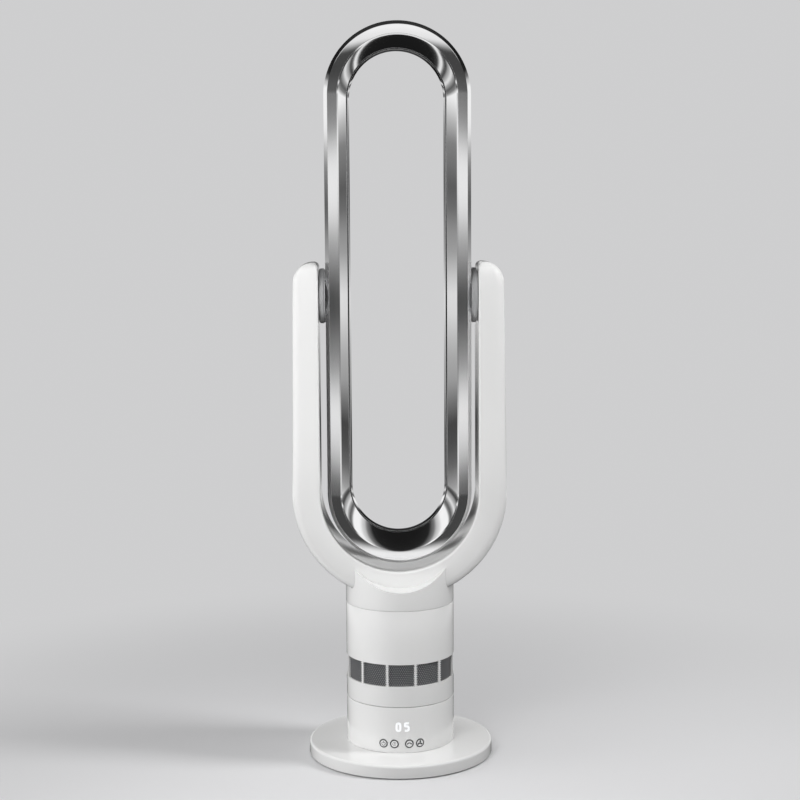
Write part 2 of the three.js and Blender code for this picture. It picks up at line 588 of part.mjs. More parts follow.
// Impeller housing: a tube round the impeller, vanes above it, and the motor's cup.
const housingBottom = funnelBottom + WALL + FIT;
const housingTop = INTAKE_HEIGHT - HOUSING_DROP;
const housingInner = bodyInner - HOUSING_INSET;
const cupOuter = MOTOR_RADIUS + CUP_MARGIN;
const cupInner = cupOuter - WALL;
const impellerBottom = funnelBottom + IMPELLER_LIFT;
const impellerTop = impellerBottom + IMPELLER_HEIGHT;
const cupBottom = impellerTop + 1;
const cupFloor = cupBottom + WALL;
const vanes = aroundCircle(DIFFUSER_VANES, 1).map(([, , angle]) => solid(
  block(housingInner - cupOuter + 2, 2, housingTop - cupFloor, (housingInner + cupOuter) / 2, 0,
    (housingTop + cupFloor) / 2).rotateZ(angle)));
addPiece(body, 'diffuser_housing', join(
  solid(turned([
    [housingInner, housingBottom], [insertRadius, housingBottom], [insertRadius, housingBottom + WALL],
    [housingInner + WALL, housingBottom + WALL], [housingInner + WALL, housingTop - WALL],
    [insertRadius, housingTop - WALL], [insertRadius, housingTop], [housingInner, housingTop],
  ])),
  solid(turned([
    [MOTOR_SHAFT_RADIUS + 3, cupBottom], [cupOuter - 2, cupBottom], [cupOuter, cupBottom + 2],
    [cupOuter, housingTop], [cupInner, housingTop], [cupInner, cupFloor], [MOTOR_SHAFT_RADIUS + 3, cupFloor],
  ])),
  ...vanes,
), 'greyPlastic');

const motorBottom = cupFloor + FIT;
const motorTop = motorBottom + MOTOR_HEIGHT;
addPiece(body, 'fan_motor', cut(
  join(
    solid(drum(MOTOR_RADIUS, motorBottom + 1, motorTop, ROUND)),
    solid(drum(cupInner - FIT, motorBottom, motorBottom + 2, ROUND)),
  ),
  solid(drum(MOTOR_SHAFT_RADIUS + FIT, motorBottom - 1, motorTop - 4)),
), 'steel');
const capSeat = housingTop + FIT;
addPiece(body, 'motor_cap', solid(turned([
  [0, capSeat], [cupOuter, capSeat], [cupOuter - 4, capSeat + 5], [cupOuter - 14, capSeat + 10],
  [0, capSeat + 12],
])), 'greyPlastic');

addPiece(body, 'motor_shaft', solid(
  drum(MOTOR_SHAFT_RADIUS, impellerBottom - 2, motorTop - 5)), 'steel');

// Mixed-flow impeller: a flared hub with swept blades that run close to the housing.
const bladeTip = housingInner - IMPELLER_TIP_GAP;
const hubFlare = [[0.32, 0], [0.42, 0.25], [0.66, 0.6], [0.97, 1]];   // share of cup radius, of height
const flareOutline = hubFlare.map(([r, h]) => [cupOuter * r, impellerBottom + IMPELLER_HEIGHT * h]);

function hubRadiusAt(share) {
  const above = Math.max(1, hubFlare.findIndex(([, h]) => h >= share));
  const [[r0, h0], [r1, h1]] = [hubFlare[above - 1], hubFlare[above]];
  return cupOuter * (r0 + ((r1 - r0) * (share - h0)) / (h1 - h0));
}

function blade(start) {
  const steps = 3;
  const thickness = 1.6;
  const points = [];
  const corners = [];
  for (let i = 0; i <= steps; i++) {
    const share = 0.03 + (0.94 * i) / steps;
    const z = impellerBottom + IMPELLER_HEIGHT * share;
    const middle = start + IMPELLER_SWEEP * share * share;
    for (const radius of [hubRadiusAt(share) - 1.5, bladeTip]) {
      for (const side of [-1, 1]) {
        const angle = middle + (side * thickness) / 2 / radius;
        points.push(radius * Math.cos(angle), radius * Math.sin(angle), z);
      }
    }
  }
  const quad = (a, b, c, d) => corners.push(a, b, c, a, c, d);
  for (let i = 0; i < steps; i++) {
    const [low, high] = [4 * i, 4 * i + 4];
    quad(low, low + 2, high + 2, high);
    quad(low + 2, low + 3, high + 3, high + 2);
    quad(low + 3, low + 1, high + 1, high + 3);
    quad(low + 1, low, high, high + 1);
  }
  quad(0, 1, 3, 2);
  const last = 4 * steps;
  quad(last, last + 2, last + 3, last + 1);
  const geometry = new THREE.BufferGeometry();
  geometry.setAttribute('position', new THREE.Float32BufferAttribute(points, 3));
  geometry.setIndex(corners);
  return geometry;
}

addPiece(body, 'impeller', join(
  solid(turned([
    [MOTOR_SHAFT_RADIUS + FIT, impellerBottom], ...flareOutline, [MOTOR_SHAFT_RADIUS + FIT, impellerTop],
  ], 3 * IMPELLER_BLADES)),
  ...aroundCircle(IMPELLER_BLADES, 1).map(([, , angle]) => solid(blade(angle))),
), 'slipPlastic');

// ---------------------------------------------------------------- yoke and neck

const yoke = addGroup(body, yokeCentre);
const armTop = pivotAboveYoke + ARM_RISE;

// Points along an arc in the plane of an outline, both ends included.
function arc(x, y, radius, from, to, steps) {
  return Array.from({ length: steps + 1 }, (_, i) => {
    const angle = from + ((to - from) * i) / steps;
    return new THREE.Vector2(x + radius * Math.cos(angle), y + radius * Math.sin(angle));
  });
}

// The U seen from the front, drawn in by an inset; its arcs are centred on the group's origin.
const BEND_STEPS = 16;
const CORNER_STEPS = 4;
function yokeOutline(inset) {
  const outer = yokeOuter - inset;
  const inner = yokeInner + inset;
  const top = armTop - inset;
  const corner = YOKE_CORNER - inset;
  const innerCorner = YOKE_INNER_CORNER - inset;
  const rightArm = [
    ...arc(outer - YOKE_TAPER - corner, top - corner, corner, 0, Math.PI / 2, CORNER_STEPS),
    ...arc(inner + innerCorner, top - innerCorner, innerCorner, Math.PI / 2, Math.PI, CORNER_STEPS),
  ];
  const leftArm = rightArm.map((point) => new THREE.Vector2(-point.x, point.y)).reverse();
  return [
    ...rightArm,
    ...arc(0, 0, inner, 0, -Math.PI, BEND_STEPS),
    ...leftArm,
    ...arc(0, 0, outer, -Math.PI, 0, BEND_STEPS),
  ];
}

// The U with rounded front and back edges, built as a stack of its own outlines.
function yokeSolid(inset, edge) {
  const half = YOKE_DEPTH / 2 - inset;
  const rounding = [[0, 1], [0.3, 0.3], [1, 0]];   // depth and draw-in, as shares of the edge
  const front = rounding.map(([depth, draw]) => [-half + depth * edge, inset + draw * edge]);
  const layers = [...front, ...front.map(([y, draw]) => [-y, draw]).reverse()];
  const outlines = layers.map(([, draw]) => yokeOutline(draw));
  const count = outlines[0].length;
  const points = layers.flatMap(([y], i) => outlines[i].flatMap((point) => [point.x, y, point.y]));
  const corners = [];
  for (let i = 0; i + 1 < layers.length; i++) {
    for (let j = 0; j < count; j++) {
      const [here, after] = [i * count + j, i * count + ((j + 1) % count)];
      corners.push(here, after, after + count, here, after + count, here + count);
    }
  }
  const last = (layers.length - 1) * count;
  for (const [p, q, r] of THREE.ShapeUtils.triangulateShape(outlines[0], [])) corners.push(p, r, q);
  for (const [p, q, r] of THREE.ShapeUtils.triangulateShape(outlines.at(-1), [])) {
    corners.push(last + p, last + q, last + r);
  }
  const geometry = new THREE.BufferGeometry();
  geometry.setAttribute('position', new THREE.Float32BufferAttribute(points, 3));
  geometry.setIndex(corners);
  return solid(geometry);
}

// From the parting line inwards: the bush's hole, the bush, the hub's spigot and its air duct.
const partingY = YOKE_PARTING - YOKE_DEPTH / 2;
const bushOuter = -partingY - BUSH_MARGIN - FIT;
const bushInner = bushOuter - BUSH_WALL;
const spigotOuter = bushInner - FIT;
const ductRadius = spigotOuter - SPIGOT_WALL;
const hubRadius = YOKE_DEPTH / 2 - HUB_INSET;
const bushHoles = [-1, 1].map((side) => solid(alongX(drum(bushOuter + FIT, -4, 4, ROUND))
  .translate(side * (yokeInner + 2), 0, pivotAboveYoke)));
// The throat opens the bottom of the U between its front and back walls.
const throatDepth = YOKE_DEPTH - 2 * YOKE_EDGE;
const throat = solid(drum(YOKE_THROAT_RADIUS, -yokeOuter - 5, -yokeInner - WALL - 4, ROUND))
  .intersect(solid(block(3 * YOKE_THROAT_RADIUS, throatDepth, 2 * yokeOuter, 0, 0, -yokeOuter)));
const hollowYoke = cut(yokeSolid(0, YOKE_EDGE), yokeSolid(WALL, YOKE_EDGE - WALL), ...bushHoles, throat);

// One side of the yoke's parting plane, as a block that is trimmed away.
function yokeSide(from, to) {
  const tall = armTop + yokeOuter;
  return solid(block(3 * yokeOuter, to - from, 2 * tall, 0, (from + to) / 2, (armTop - yokeOuter) / 2));
}
addPiece(yoke, 'yoke_front', cut(hollowYoke, yokeSide(partingY, YOKE_DEPTH)), 'glossWhite');
addPiece(yoke, 'yoke_rear', cut(hollowYoke, yokeSide(-YOKE_DEPTH, partingY + FIT)), 'glossWhite');

// Neck: it carries on the body's round wall, and its top is scooped in a tighter curve than
// the U's, so that its two horns lap over the U's front face.
const neck = addGroup(body, neckBottom);
const neckCentre = yokeCentre - neckBottom;
const neckTop = NECK_HEIGHT + 30;
const scoop = (radius, height, half = 2 * BODY_RADIUS) => solid(
  alongY(drum(radius, -half, half, 2 * SHELL_ROUND)).translate(0, 0, height));
const ledge = (radius) => scoop(radius, NECK_HEIGHT + LEDGE_RADIUS);
const yokeRoom = scoop(yokeOuter + FIT, neckCentre, YOKE_DEPTH / 2 + FIT);
const SKIRT_DROP = 7.6;                        // neck's skirt inside the body
addPiece(neck, 'neck_shell', cut(
  join(
    cut(
      solid(drum(BODY_RADIUS, 0, neckTop, SHELL_ROUND)),
      ledge(LEDGE_RADIUS),
      cut(solid(drum(bodyInner, -1, neckTop + 1, SHELL_ROUND)), ledge(LEDGE_RADIUS + WALL)),
    ),
    solid(turned([
      [insertRadius - WALL, -SKIRT_DROP], [insertRadius, -SKIRT_DROP], [insertRadius, 0],
      [bodyInner + 1, 0], [bodyInner + 1, WALL], [insertRadius - WALL, WALL],
    ])),
  ),
  yokeRoom,
), 'glossWhite');

// ---------------------------------------------------------------- loop

const loop = addGroup(body, pivotHeight);
const LOOP_ARC_STEPS = 12;

// A section, given as [inset from the outer edge, distance behind the tilt axis], carried
// round the stadium: two half circles joined by straight runs.
function aroundLoop(section) {
  const straight = LOOP_HEIGHT / 2 - loopHalf;
  const points = [];
  const corners = [];
  for (const half of [0, 1]) {
    for (let i = 0; i <= LOOP_ARC_STEPS; i++) {
      const angle = Math.PI * (half + i / LOOP_ARC_STEPS);
      const centre = half === 0 ? straight : -straight;
      for (const [inset, back] of section) {
        const radius = loopHalf - inset;
        points.push(radius * Math.cos(angle), back, centre + radius * Math.sin(angle));
      }
    }
  }
  const stations = 2 * (LOOP_ARC_STEPS + 1);
  const count = section.length;
  for (let i = 0; i < stations; i++) {
    for (let j = 0; j < count; j++) {
      const [here, next] = [i * count, ((i + 1) % stations) * count];
      const after = (j + 1) % count;
      corners.push(here + j, next + j, next + after, here + j, next + after, here + after);
    }
  }
  const geometry = new THREE.BufferGeometry();
  geometry.setAttribute('position', new THREE.Float32BufferAttribute(points, 3));
  geometry.setIndex(corners);
  return geometry;
}

// The inner face falls from the ridge to the tail beside the slot, gently bowed.
const tailBack = LOOP_BACK - TAIL_SETBACK;
const innerDepth = tailBack + LOOP_FRONT;
const faceFall = LOOP_TAIL_INSET - LOOP_RIDGE_INSET;
const faceInset = (share) => LOOP_RIDGE_INSET + faceFall * (0.45 * share + 0.55 * share ** 1.6);
const faceShares = [0.25, 0.6, 1];
const portRadius = spigotOuter + FIT;
const ports = [-1, 1].map((side) => solid(
  alongX(drum(portRadius, -5, 5, ROUND)).translate(side * loopHalf, 0, 0)));

addPiece(loop, 'loop_front', cut(solid(aroundLoop([
  [0, LOOP_PARTING], [0, -LOOP_SHOULDER], [LOOP_RIDGE_INSET * 0.26, -LOOP_FRONT + 4],
  [LOOP_RIDGE_INSET, -LOOP_FRONT],
  ...faceShares.map((s) => [faceInset(s), -LOOP_FRONT + innerDepth * s]),
  ...faceShares.toReversed().map((s) => [faceInset(s) - LOOP_WALL, -LOOP_FRONT + innerDepth * s]),
  [LOOP_RIDGE_INSET - LOOP_WALL, -LOOP_FRONT + LOOP_WALL * 1.6],
  [LOOP_RIDGE_INSET * 0.26 + LOOP_WALL * 0.8, -LOOP_FRONT + 4 + LOOP_WALL],
  [LOOP_WALL, -LOOP_SHOULDER + LOOP_WALL * 0.5], [LOOP_WALL, LOOP_PARTING],
])), ...ports), 'satinSilver');

const rearSeam = LOOP_PARTING + FIT;
const slotBack = tailBack + AIR_SLOT;
const lipInset = LOOP_TAIL_INSET + LIP_STEP;
addPiece(loop, 'loop_rear', cut(solid(aroundLoop([
  [LOOP_WALL, rearSeam], [LOOP_WALL, LOOP_BACK - 8.5], [LOOP_WALL + 2, LOOP_BACK - 4.6],
  [8.5, LOOP_BACK - LOOP_WALL], [LOOP_LIMB - 9.2, LOOP_BACK - LOOP_WALL],
  [LOOP_LIMB - 4.6, LOOP_BACK - 3.9], [lipInset - LIP_EDGE, slotBack + 0.9], [lipInset, slotBack],
  [LOOP_LIMB, LOOP_BACK - 2.6], [LOOP_LIMB - 1.6, LOOP_BACK - 0.6], [LOOP_LIMB - 4.5, LOOP_BACK],
  [8, LOOP_BACK], [2.5, LOOP_BACK - 3], [0, LOOP_BACK - 8], [0, rearSeam],
])), ...ports), 'satinSilver');

// Each side is made along +X and turned half round for the left: a hub with its hollow
// spigot, a seal where it enters the loop, a bush in the arm's wall and a snap ring.
const hubFace = HUB_GAP - FIT;                 // outer end of the hub's flange, from the loop
const armInside = HUB_GAP + WALL;
const spigotEnd = HUB_GAP + SPIGOT_LENGTH;
const bushEnd = spigotEnd - 4;
const hubClipStart = bushEnd + FIT;
const hubClipEnd = hubClipStart + CLIP_THICKNESS;
const HUB_GROOVE = 1.2;
const HUB_ROUNDING = 3;
const hubOutline = [
  [ductRadius, FIT], [hubRadius - 1, FIT], [hubRadius, FIT + 1], [hubRadius, hubFace - HUB_ROUNDING],
  [hubRadius - HUB_ROUNDING, hubFace], [spigotOuter, hubFace], [spigotOuter, hubClipStart - FIT / 2],
  [spigotOuter - HUB_GROOVE, hubClipStart - FIT / 2], [spigotOuter - HUB_GROOVE, hubClipEnd + FIT],
  [spigotOuter, hubClipEnd + FIT], [spigotOuter, spigotEnd], [ductRadius, spigotEnd],
];
const flangeStart = armInside + FIT;
const flangeRadius = bushOuter + 5;
const bushOutline = [
  [bushInner, HUB_GAP + FIT], [bushOuter, HUB_GAP + FIT], [bushOuter, flangeStart],
  [flangeRadius, flangeStart], [flangeRadius, flangeStart + WALL], [bushOuter, flangeStart + WALL],
  [bushOuter, bushEnd], [bushInner, bushEnd],
];
for (const [side, turn] of [['left', Math.PI], ['right', 0]]) {
  const pivot = addGroup(loop, 0);
  pivot.rotation.z = turn;
  const pieces = [
    [`hub_${side}`, solid(turned(hubOutline)), 'hubGrey'],
    [`hub_clip_${side}`, snapRing(spigotOuter - HUB_GROOVE + FIT, hubClipStart, hubClipEnd), 'steel'],
    [`port_seal_${side}`, solid(ring(ductRadius, spigotOuter, -LOOP_WALL, 0)), 'rubber'],
    [`pivot_bush_${side}`, solid(turned(bushOutline)), 'slipPlastic'],
  ];
  for (const [name, shape, finish] of pieces) {
    const piece = addPiece(pivot, name, shape, finish);
    piece.rotation.y = Math.PI / 2;
    piece.position.x = loopHalf;
  }
}

export default fan;
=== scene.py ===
import math

import bmesh
import bpy
from mathutils import Matrix, Vector


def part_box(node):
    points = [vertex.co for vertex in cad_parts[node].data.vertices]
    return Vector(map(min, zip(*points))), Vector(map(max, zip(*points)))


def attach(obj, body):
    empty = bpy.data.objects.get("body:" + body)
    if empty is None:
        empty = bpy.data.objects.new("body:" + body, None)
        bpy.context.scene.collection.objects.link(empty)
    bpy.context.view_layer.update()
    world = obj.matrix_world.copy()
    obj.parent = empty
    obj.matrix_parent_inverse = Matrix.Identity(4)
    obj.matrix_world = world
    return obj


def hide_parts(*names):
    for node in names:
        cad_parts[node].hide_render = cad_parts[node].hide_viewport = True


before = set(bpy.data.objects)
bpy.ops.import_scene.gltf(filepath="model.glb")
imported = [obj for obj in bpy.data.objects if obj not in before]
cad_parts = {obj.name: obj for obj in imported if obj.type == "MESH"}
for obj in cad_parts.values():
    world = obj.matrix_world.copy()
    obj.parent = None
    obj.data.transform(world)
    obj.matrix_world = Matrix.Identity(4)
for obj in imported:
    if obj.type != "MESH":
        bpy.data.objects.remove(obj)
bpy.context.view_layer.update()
MM = 0.001

# ------------------------------------------------------------------ studio
# A pale floor under plain light that comes mostly from the left, with three soft lamps: a
# near one, a low one on the left, and a higher, stronger one on the right. Polished metal
# sees a sky of light and dark bands instead, as softboxes and flags make them.

scene = bpy.context.scene
scene.view_settings.view_transform = "Standard"

CAMERA_DISTANCE = 2.040
CAMERA_HEIGHT = 0.6824
CAMERA_AZIMUTH = math.radians(-1.2)
CAMERA_YAW = math.radians(-1.249)
CAMERA_PITCH = math.radians(6.49)
CAMERA_ROLL = math.radians(-0.35)
CAMERA_LENS = 73.9

camera = bpy.data.objects.new("camera", bpy.data.cameras.new("camera"))
camera.data.lens = CAMERA_LENS
camera.data.sensor_width = 36
camera.location = (
    CAMERA_DISTANCE * math.sin(CAMERA_AZIMUTH),
    -CAMERA_DISTANCE * math.cos(CAMERA_AZIMUTH),
    CAMERA_HEIGHT,
)
aim = Matrix.Rotation(CAMERA_YAW, 4, "Z") @ Matrix.Rotation(math.pi / 2 - CAMERA_PITCH, 4, "X")
camera.rotation_mode = "QUATERNION"
camera.rotation_quaternion = (aim @ Matrix.Rotation(CAMERA_ROLL, 4, "Z")).to_quaternion()
scene.collection.objects.link(camera)
scene.camera = camera

FRONT_LIGHT = 0.03               # strength of the plain white surroundings on each side
LEFT_LIGHT = 1.30
RIGHT_LIGHT = 0.06
TOP_LIGHT = 0.14
BACK_LIGHT = 0.45
BACKDROP_GREY = 0.62
BACKDROP = (BACKDROP_GREY, BACKDROP_GREY, BACKDROP_GREY * 1.01, 1)
LAMP_WIDTH = 0.35
LAMP_HEIGHT = 0.70
LAMPS = {                        # where each stands, what it is aimed at, and its power
    "near_lamp": ((-0.205, -0.564, 0.60), (0, 0, 0.15), 2.5),
    "left_lamp": ((-1.28, -0.226, 0.30), (0, 0, 0.15), 2.2),
    "right_lamp": ((1.28, -0.226, 1.30), (0, 0, 0.75), 17),
}

for name, (place, aim_at, power) in LAMPS.items():
    data = bpy.data.lights.new(name, "AREA")
    data.shape = "RECTANGLE"
    data.size = LAMP_WIDTH
    data.size_y = LAMP_HEIGHT
    data.energy = power
    light = bpy.data.objects.new(name, data)
    light.location = place
    light.rotation_mode = "QUATERNION"
    light.rotation_quaternion = (Vector(aim_at) - Vector(place)).to_track_quat("-Z", "Y")
    light.visible_glossy = False
    light.visible_camera = False
    scene.collection.objects.link(light)


def linked(tree, kind, inputs=(), **settings):
    """A node with its settings and inputs; an input may be another node's output."""
    node = tree.nodes.new(kind)
    for name, value in settings.items():
        setattr(node, name, value)
    for key, value in dict(inputs).items():
        if isinstance(value, bpy.types.NodeSocket):
            tree.links.new(value, node.inputs[key])
        else:
            node.inputs[key].default_value = value
    return node


def eased(tree, value, start, end, low=0.0, high=1.0):
    """Goes smoothly from low to high as the value goes from start to end."""
    return linked(tree, "ShaderNodeMapRange", {
        "Value": value, "From Min": start, "From Max": end, "To Min": low, "To Max": high,
    }, interpolation_type="SMOOTHSTEP").outputs[0]


def mixed(tree, share, first, second):
    """A colour between two others, by a share."""
    return linked(tree, "ShaderNodeMix", {0: share, 6: first, 7: second}, data_type="RGBA").outputs[2]


def overlaid(tree, share, under, over):
    """A light or a finish that gives way to another, by a share."""
    return linked(tree, "ShaderNodeMixShader", {0: share, 1: under, 2: over}).outputs[0]


def bands(tree, height, stops):
    """A smooth ramp of greys over the sky, from (elevation in degrees, grey) stops."""
    ramp = linked(tree, "ShaderNodeValToRGB", {0: height})
    ramp.color_ramp.interpolation = "EASE"
    elements = ramp.color_ramp.elements
    elements.remove(elements[1])
    for i, (elevation, grey) in enumerate(stops):
        stop = elements[0] if i == 0 else elements.new(1)
        stop.position = elevation / 180 + 0.5
        stop.color = (grey, grey, grey, 1)
    return ramp.outputs[0]


world = bpy.data.worlds.new("studio")
world.use_nodes = True
scene.world = world
sky = world.node_tree
sky.nodes.clear()
direction = linked(sky, "ShaderNodeTexCoord").outputs["Generated"]
parts = linked(sky, "ShaderNodeSeparateXYZ", {0: direction}).outputs
angle = linked(sky, "ShaderNodeMath", {0: parts["Z"]}, operation="ARCSINE").outputs[0]
height = linked(sky, "ShaderNodeMapRange", {
    "Value": angle, "From Min": -math.pi / 2, "From Max": math.pi / 2,
}).outputs[0]
front_bands = bands(sky, height, [
    (-60, 0.80), (-46, 0.90), (-36, 0.06), (-22, 0.06), (-11.5, 0.06), (-10, 0.11), (-8.5, 0.72),
    (-7.2, 0.90), (-5.1, 0.24), (-3.0, 0.03), (-0.9, 0.38), (0.5, 0.88), (2.1, 0.90), (3.8, 0.22),
    (7, 0.10), (18, 0.06), (27, 0.06), (36, 0.85), (46, 0.95), (56, 0.30), (64, 0.03), (90, 0.02),
])
back_bands = bands(sky, height, [
    (-45, 0.05), (-25, 0.010), (-16, 0.012), (-12.5, 0.04), (-11, 0.75), (-10, 0.90), (-8.7, 0.14),
    (-7.2, 0.05), (-5.1, 0.40), (-3.0, 0.76), (-1.0, 0.30), (0.5, 0.10), (2.1, 0.22), (3.8, 0.95),
    (9, 0.95), (13, 0.60), (16.5, 0.15), (20, 0.015), (30, 0.010), (50, 0.03), (64, 0.03), (90, 0.02),
])
rearward = eased(sky, parts["Y"], -0.35, 0.35)
banded = mixed(sky, rearward, front_bands, back_bands)
path = linked(sky, "ShaderNodeLightPath").outputs
to_left = eased(sky, parts["X"], 0.0, -0.9, FRONT_LIGHT, LEFT_LIGHT)
to_right = eased(sky, parts["X"], 0.3, 0.9, to_left, RIGHT_LIGHT)
overhead = eased(sky, parts["Z"], 0.6, 0.95, to_right, TOP_LIGHT)
behind = eased(sky, parts["Y"], 0.15, 0.7, overhead, BACK_LIGHT)
plain_light = linked(sky, "ShaderNodeBackground", {"Color": (1, 1, 1, 1), "Strength": behind}).outputs[0]
mirror_light = linked(sky, "ShaderNodeBackground", {"Color": banded, "Strength": 1.0}).outputs[0]
backdrop = linked(sky, "ShaderNodeBackground", {"Color": BACKDROP, "Strength": 1.0}).outputs[0]
with_mirror = overlaid(sky, path["Is Glossy Ray"], plain_light, mirror_light)
linked(sky, "ShaderNodeOutputWorld", {0: overlaid(sky, path["Is Camera Ray"], with_mirror, backdrop)})

FLOOR_RADIUS = 12
FLOOR_FADE = (0.25, 0.95)        # distance over which the floor turns into the backdrop
FLOOR_LIT = (0.38, 0.38, 0.385, 1)     # as light that falls back on the fan sees it
FLOOR_SHOWN = (0.74, 0.74, 0.75, 1)    # as the camera sees it
floor_mesh = bmesh.new()
bmesh.ops.create_circle(floor_mesh, cap_ends=True, segments=96, radius=FLOOR_RADIUS)
floor_data = bpy.data.meshes.new("floor")
floor_mesh.to_mesh(floor_data)
floor_mesh.free()
floor = bpy.data.objects.new("floor", floor_data)
floor.visible_glossy = False
scene.collection.objects.link(floor)
floor_paint = bpy.data.materials.new("floor_paint")
floor_paint.use_nodes = True
floor_tree = floor_paint.node_tree
floor_shader = floor_tree.nodes["Principled BSDF"]
to_camera = linked(floor_tree, "ShaderNodeLightPath").outputs["Is Camera Ray"]
floor_tree.links.new(
    mixed(floor_tree, to_camera, FLOOR_LIT, FLOOR_SHOWN), floor_shader.inputs["Base Color"])
floor_shader.inputs["Roughness"].default_value = 0.9
floor_shader.inputs["Specular IOR Level"].default_value = 0.1
floor_place = linked(floor_tree, "ShaderNodeTexCoord").outputs["Object"]
floor_reach = linked(
    floor_tree, "ShaderNodeVectorMath", {0: floor_place}, operation="LENGTH").outputs["Value"]
floor_fade = eased(floor_tree, floor_reach, *FLOOR_FADE)
faded = linked(floor_tree, "ShaderNodeMath", {0: floor_fade, 1: to_camera}, operation="MULTIPLY").outputs[0]
floor_far = linked(floor_tree, "ShaderNodeEmission", {"Color": BACKDROP, "Strength": 1.0}).outputs[0]
floor_tree.links.new(
    overlaid(floor_tree, faded, floor_shader.outputs[0], floor_far),
    floor_tree.nodes["Material Output"].inputs["Surface"])
floor_data.materials.append(floor_paint)

# ------------------------------------------------------------------ base disc
# The foot of the fan is a low white moulding, 232 mm across, with softly rounded edges.
# It stands clear of the floor on a rubber ring and hides a steel weight.

WHITE = (0.885, 0.885, 0.880, 1)
SMOOTH_SIDES = 192
NOISE_LOW = 0.3                  # noise seldom leaves this range
NOISE_HIGH = 0.7
BROAD_GRAIN = 9


def fine_noise(tree, scale, stretch=(1, 1, 1), detail=3):
    """Noise that follows the piece itself, drawn out along the axes by stretch."""
    place = linked(tree, "ShaderNodeTexCoord").outputs["Object"]
    drawn = linked(tree, "ShaderNodeMapping", {"Vector": place, "Scale": stretch}).outputs[0]
    return linked(tree, "ShaderNodeTexNoise", {"Vector": drawn, "Scale": scale, "Detail": detail}).outputs[0]


def between(tree, value, low, high):
    """Spreads a noise from low to high."""
    return linked(tree, "ShaderNodeMapRange", {
        "Value": value, "From Min": NOISE_LOW, "From Max": NOISE_HIGH, "To Min": low, "To Max": high,
    }).outputs[0]


def surface(name, colour, roughness, metal=0.0, shade=0.03, grain=400, relief=0.00002, stretch=(1, 1, 1)):
    """A moulded, painted or turned finish: uneven colour, uneven gloss and a fine relief."""
    finish = bpy.data.materials.new(name)
    finish.use_nodes = True
    tree = finish.node_tree
    shader = tree.nodes["Principled BSDF"]
    shader.inputs["Metallic"].default_value = metal
    broad = fine_noise(tree, BROAD_GRAIN, stretch)
    close = fine_noise(tree, grain, stretch)
    darker = tuple(c * (1 - shade) for c in colour[:3]) + (1,)
    tint = mixed(tree, between(tree, broad, 0, 1), darker, colour)
    tree.links.new(tint, shader.inputs["Base Color"])
    gloss = between(tree, broad, roughness * 0.9, roughness * 1.1)
    tree.links.new(gloss, shader.inputs["Roughness"])
    bump = linked(tree, "ShaderNodeBump", {"Strength": 0.5, "Distance": relief, "Height": close})
    tree.links.new(bump.outputs[0], shader.inputs["Normal"])
    return finish


def rounded(corners, steps=5):
    """A closed outline of (x, y, radius) corners, each rounded off with an arc."""
    points = []
    for i, (x, y, radius) in enumerate(corners):
        here = Vector((x, y))
        before = Vector(corners[i - 1][:2]) - here
        after = Vector(corners[(i + 1) % len(corners)][:2]) - here
        if radius == 0:
            points.append((x, y))
            continue
        half = before.angle(after) / 2
        reach = min(radius / math.tan(half), 0.49 * before.length, 0.49 * after.length)
        middle = (before.normalized() + after.normalized()).normalized() * reach / math.cos(half)
        start = before.normalized() * reach - middle
        turn = start.angle_signed(after.normalized() * reach - middle)
        for k in range(steps + 1):
            arm = Matrix.Rotation(-turn * k / steps, 2) @ start
            points.append(tuple(here + middle + arm))
    return points


SHARP = 32                       # degrees, from which an edge shows as a crease


def piece_from(name, shape, finish, sharp=SHARP):
    """An object from a bmesh, smooth but for edges sharper than so many degrees."""
    bmesh.ops.remove_doubles(shape, verts=shape.verts, dist=1e-7)
    bmesh.ops.recalc_face_normals(shape, faces=shape.faces)
    data = bpy.data.meshes.new(name)
    shape.to_mesh(data)
    shape.free()
    data.materials.append(finish)
    data.shade_smooth()
    data.set_sharp_from_angle(angle=math.radians(sharp))
    piece = bpy.data.objects.new(name, data)
    scene.collection.objects.link(piece)
    return piece


def turned(name, outline, finish, sides=SMOOTH_SIDES):
    """A closed piece turned round +Z from its (radius, height) outline."""
    shape = bmesh.new()
    rings = []
    for k in range(sides):
        angle = 2 * math.pi * k / sides
        rings.append([shape.verts.new((r * math.cos(angle), r * math.sin(angle), z)) for r, z in outline])
    for k, ring in enumerate(rings):
        beside = rings[(k + 1) % sides]
        for j in range(len(outline)):
            above = (j + 1) % len(outline)
            shape.faces.new((ring[j], beside[j], beside[above], ring[above]))
    return piece_from(name, shape, finish)


gloss_white = surface("gloss_white", WHITE, 0.06, shade=0.015, relief=0.000003)

base_low, base_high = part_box("base_cover")
BASE_RADIUS = base_high.x
BASE_EDGE = 3.2 * MM
BASE_FOOT_EDGE = 0.8 * MM
COVER_WALL = 2.5 * MM
cover_inside = BASE_RADIUS - COVER_WALL
cover_ceiling = base_high.z - COVER_WALL
base_disc = turned("base_disc", rounded([
    (0, base_high.z, 0), (BASE_RADIUS, base_high.z, BASE_EDGE), (BASE_RADIUS, base_low.z, BASE_FOOT_EDGE),
    (cover_inside, base_low.z, BASE_FOOT_EDGE), (cover_inside, cover_ceiling, 1 * MM),
    (0, cover_ceiling, 0),
], steps=8), gloss_white)
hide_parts("base_cover")
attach(base_disc, "base")

# ------------------------------------------------------------------ foot ring, weight and screws
# Under the disc lie a black rubber ring with moulded ribs and a rolled steel plate, which
# three pan-head screws with cross recesses hold up against the cover.

def finished(piece, *tools):
    """Makes the result of a piece's modifiers its plain mesh, and clears the tools away."""
    graph = bpy.context.evaluated_depsgraph_get()
    shape = bpy.data.meshes.new_from_object(piece.evaluated_get(graph))
    piece.modifiers.clear()
    piece.data = shape
    for tool in tools:
        bpy.data.objects.remove(tool)
    return piece


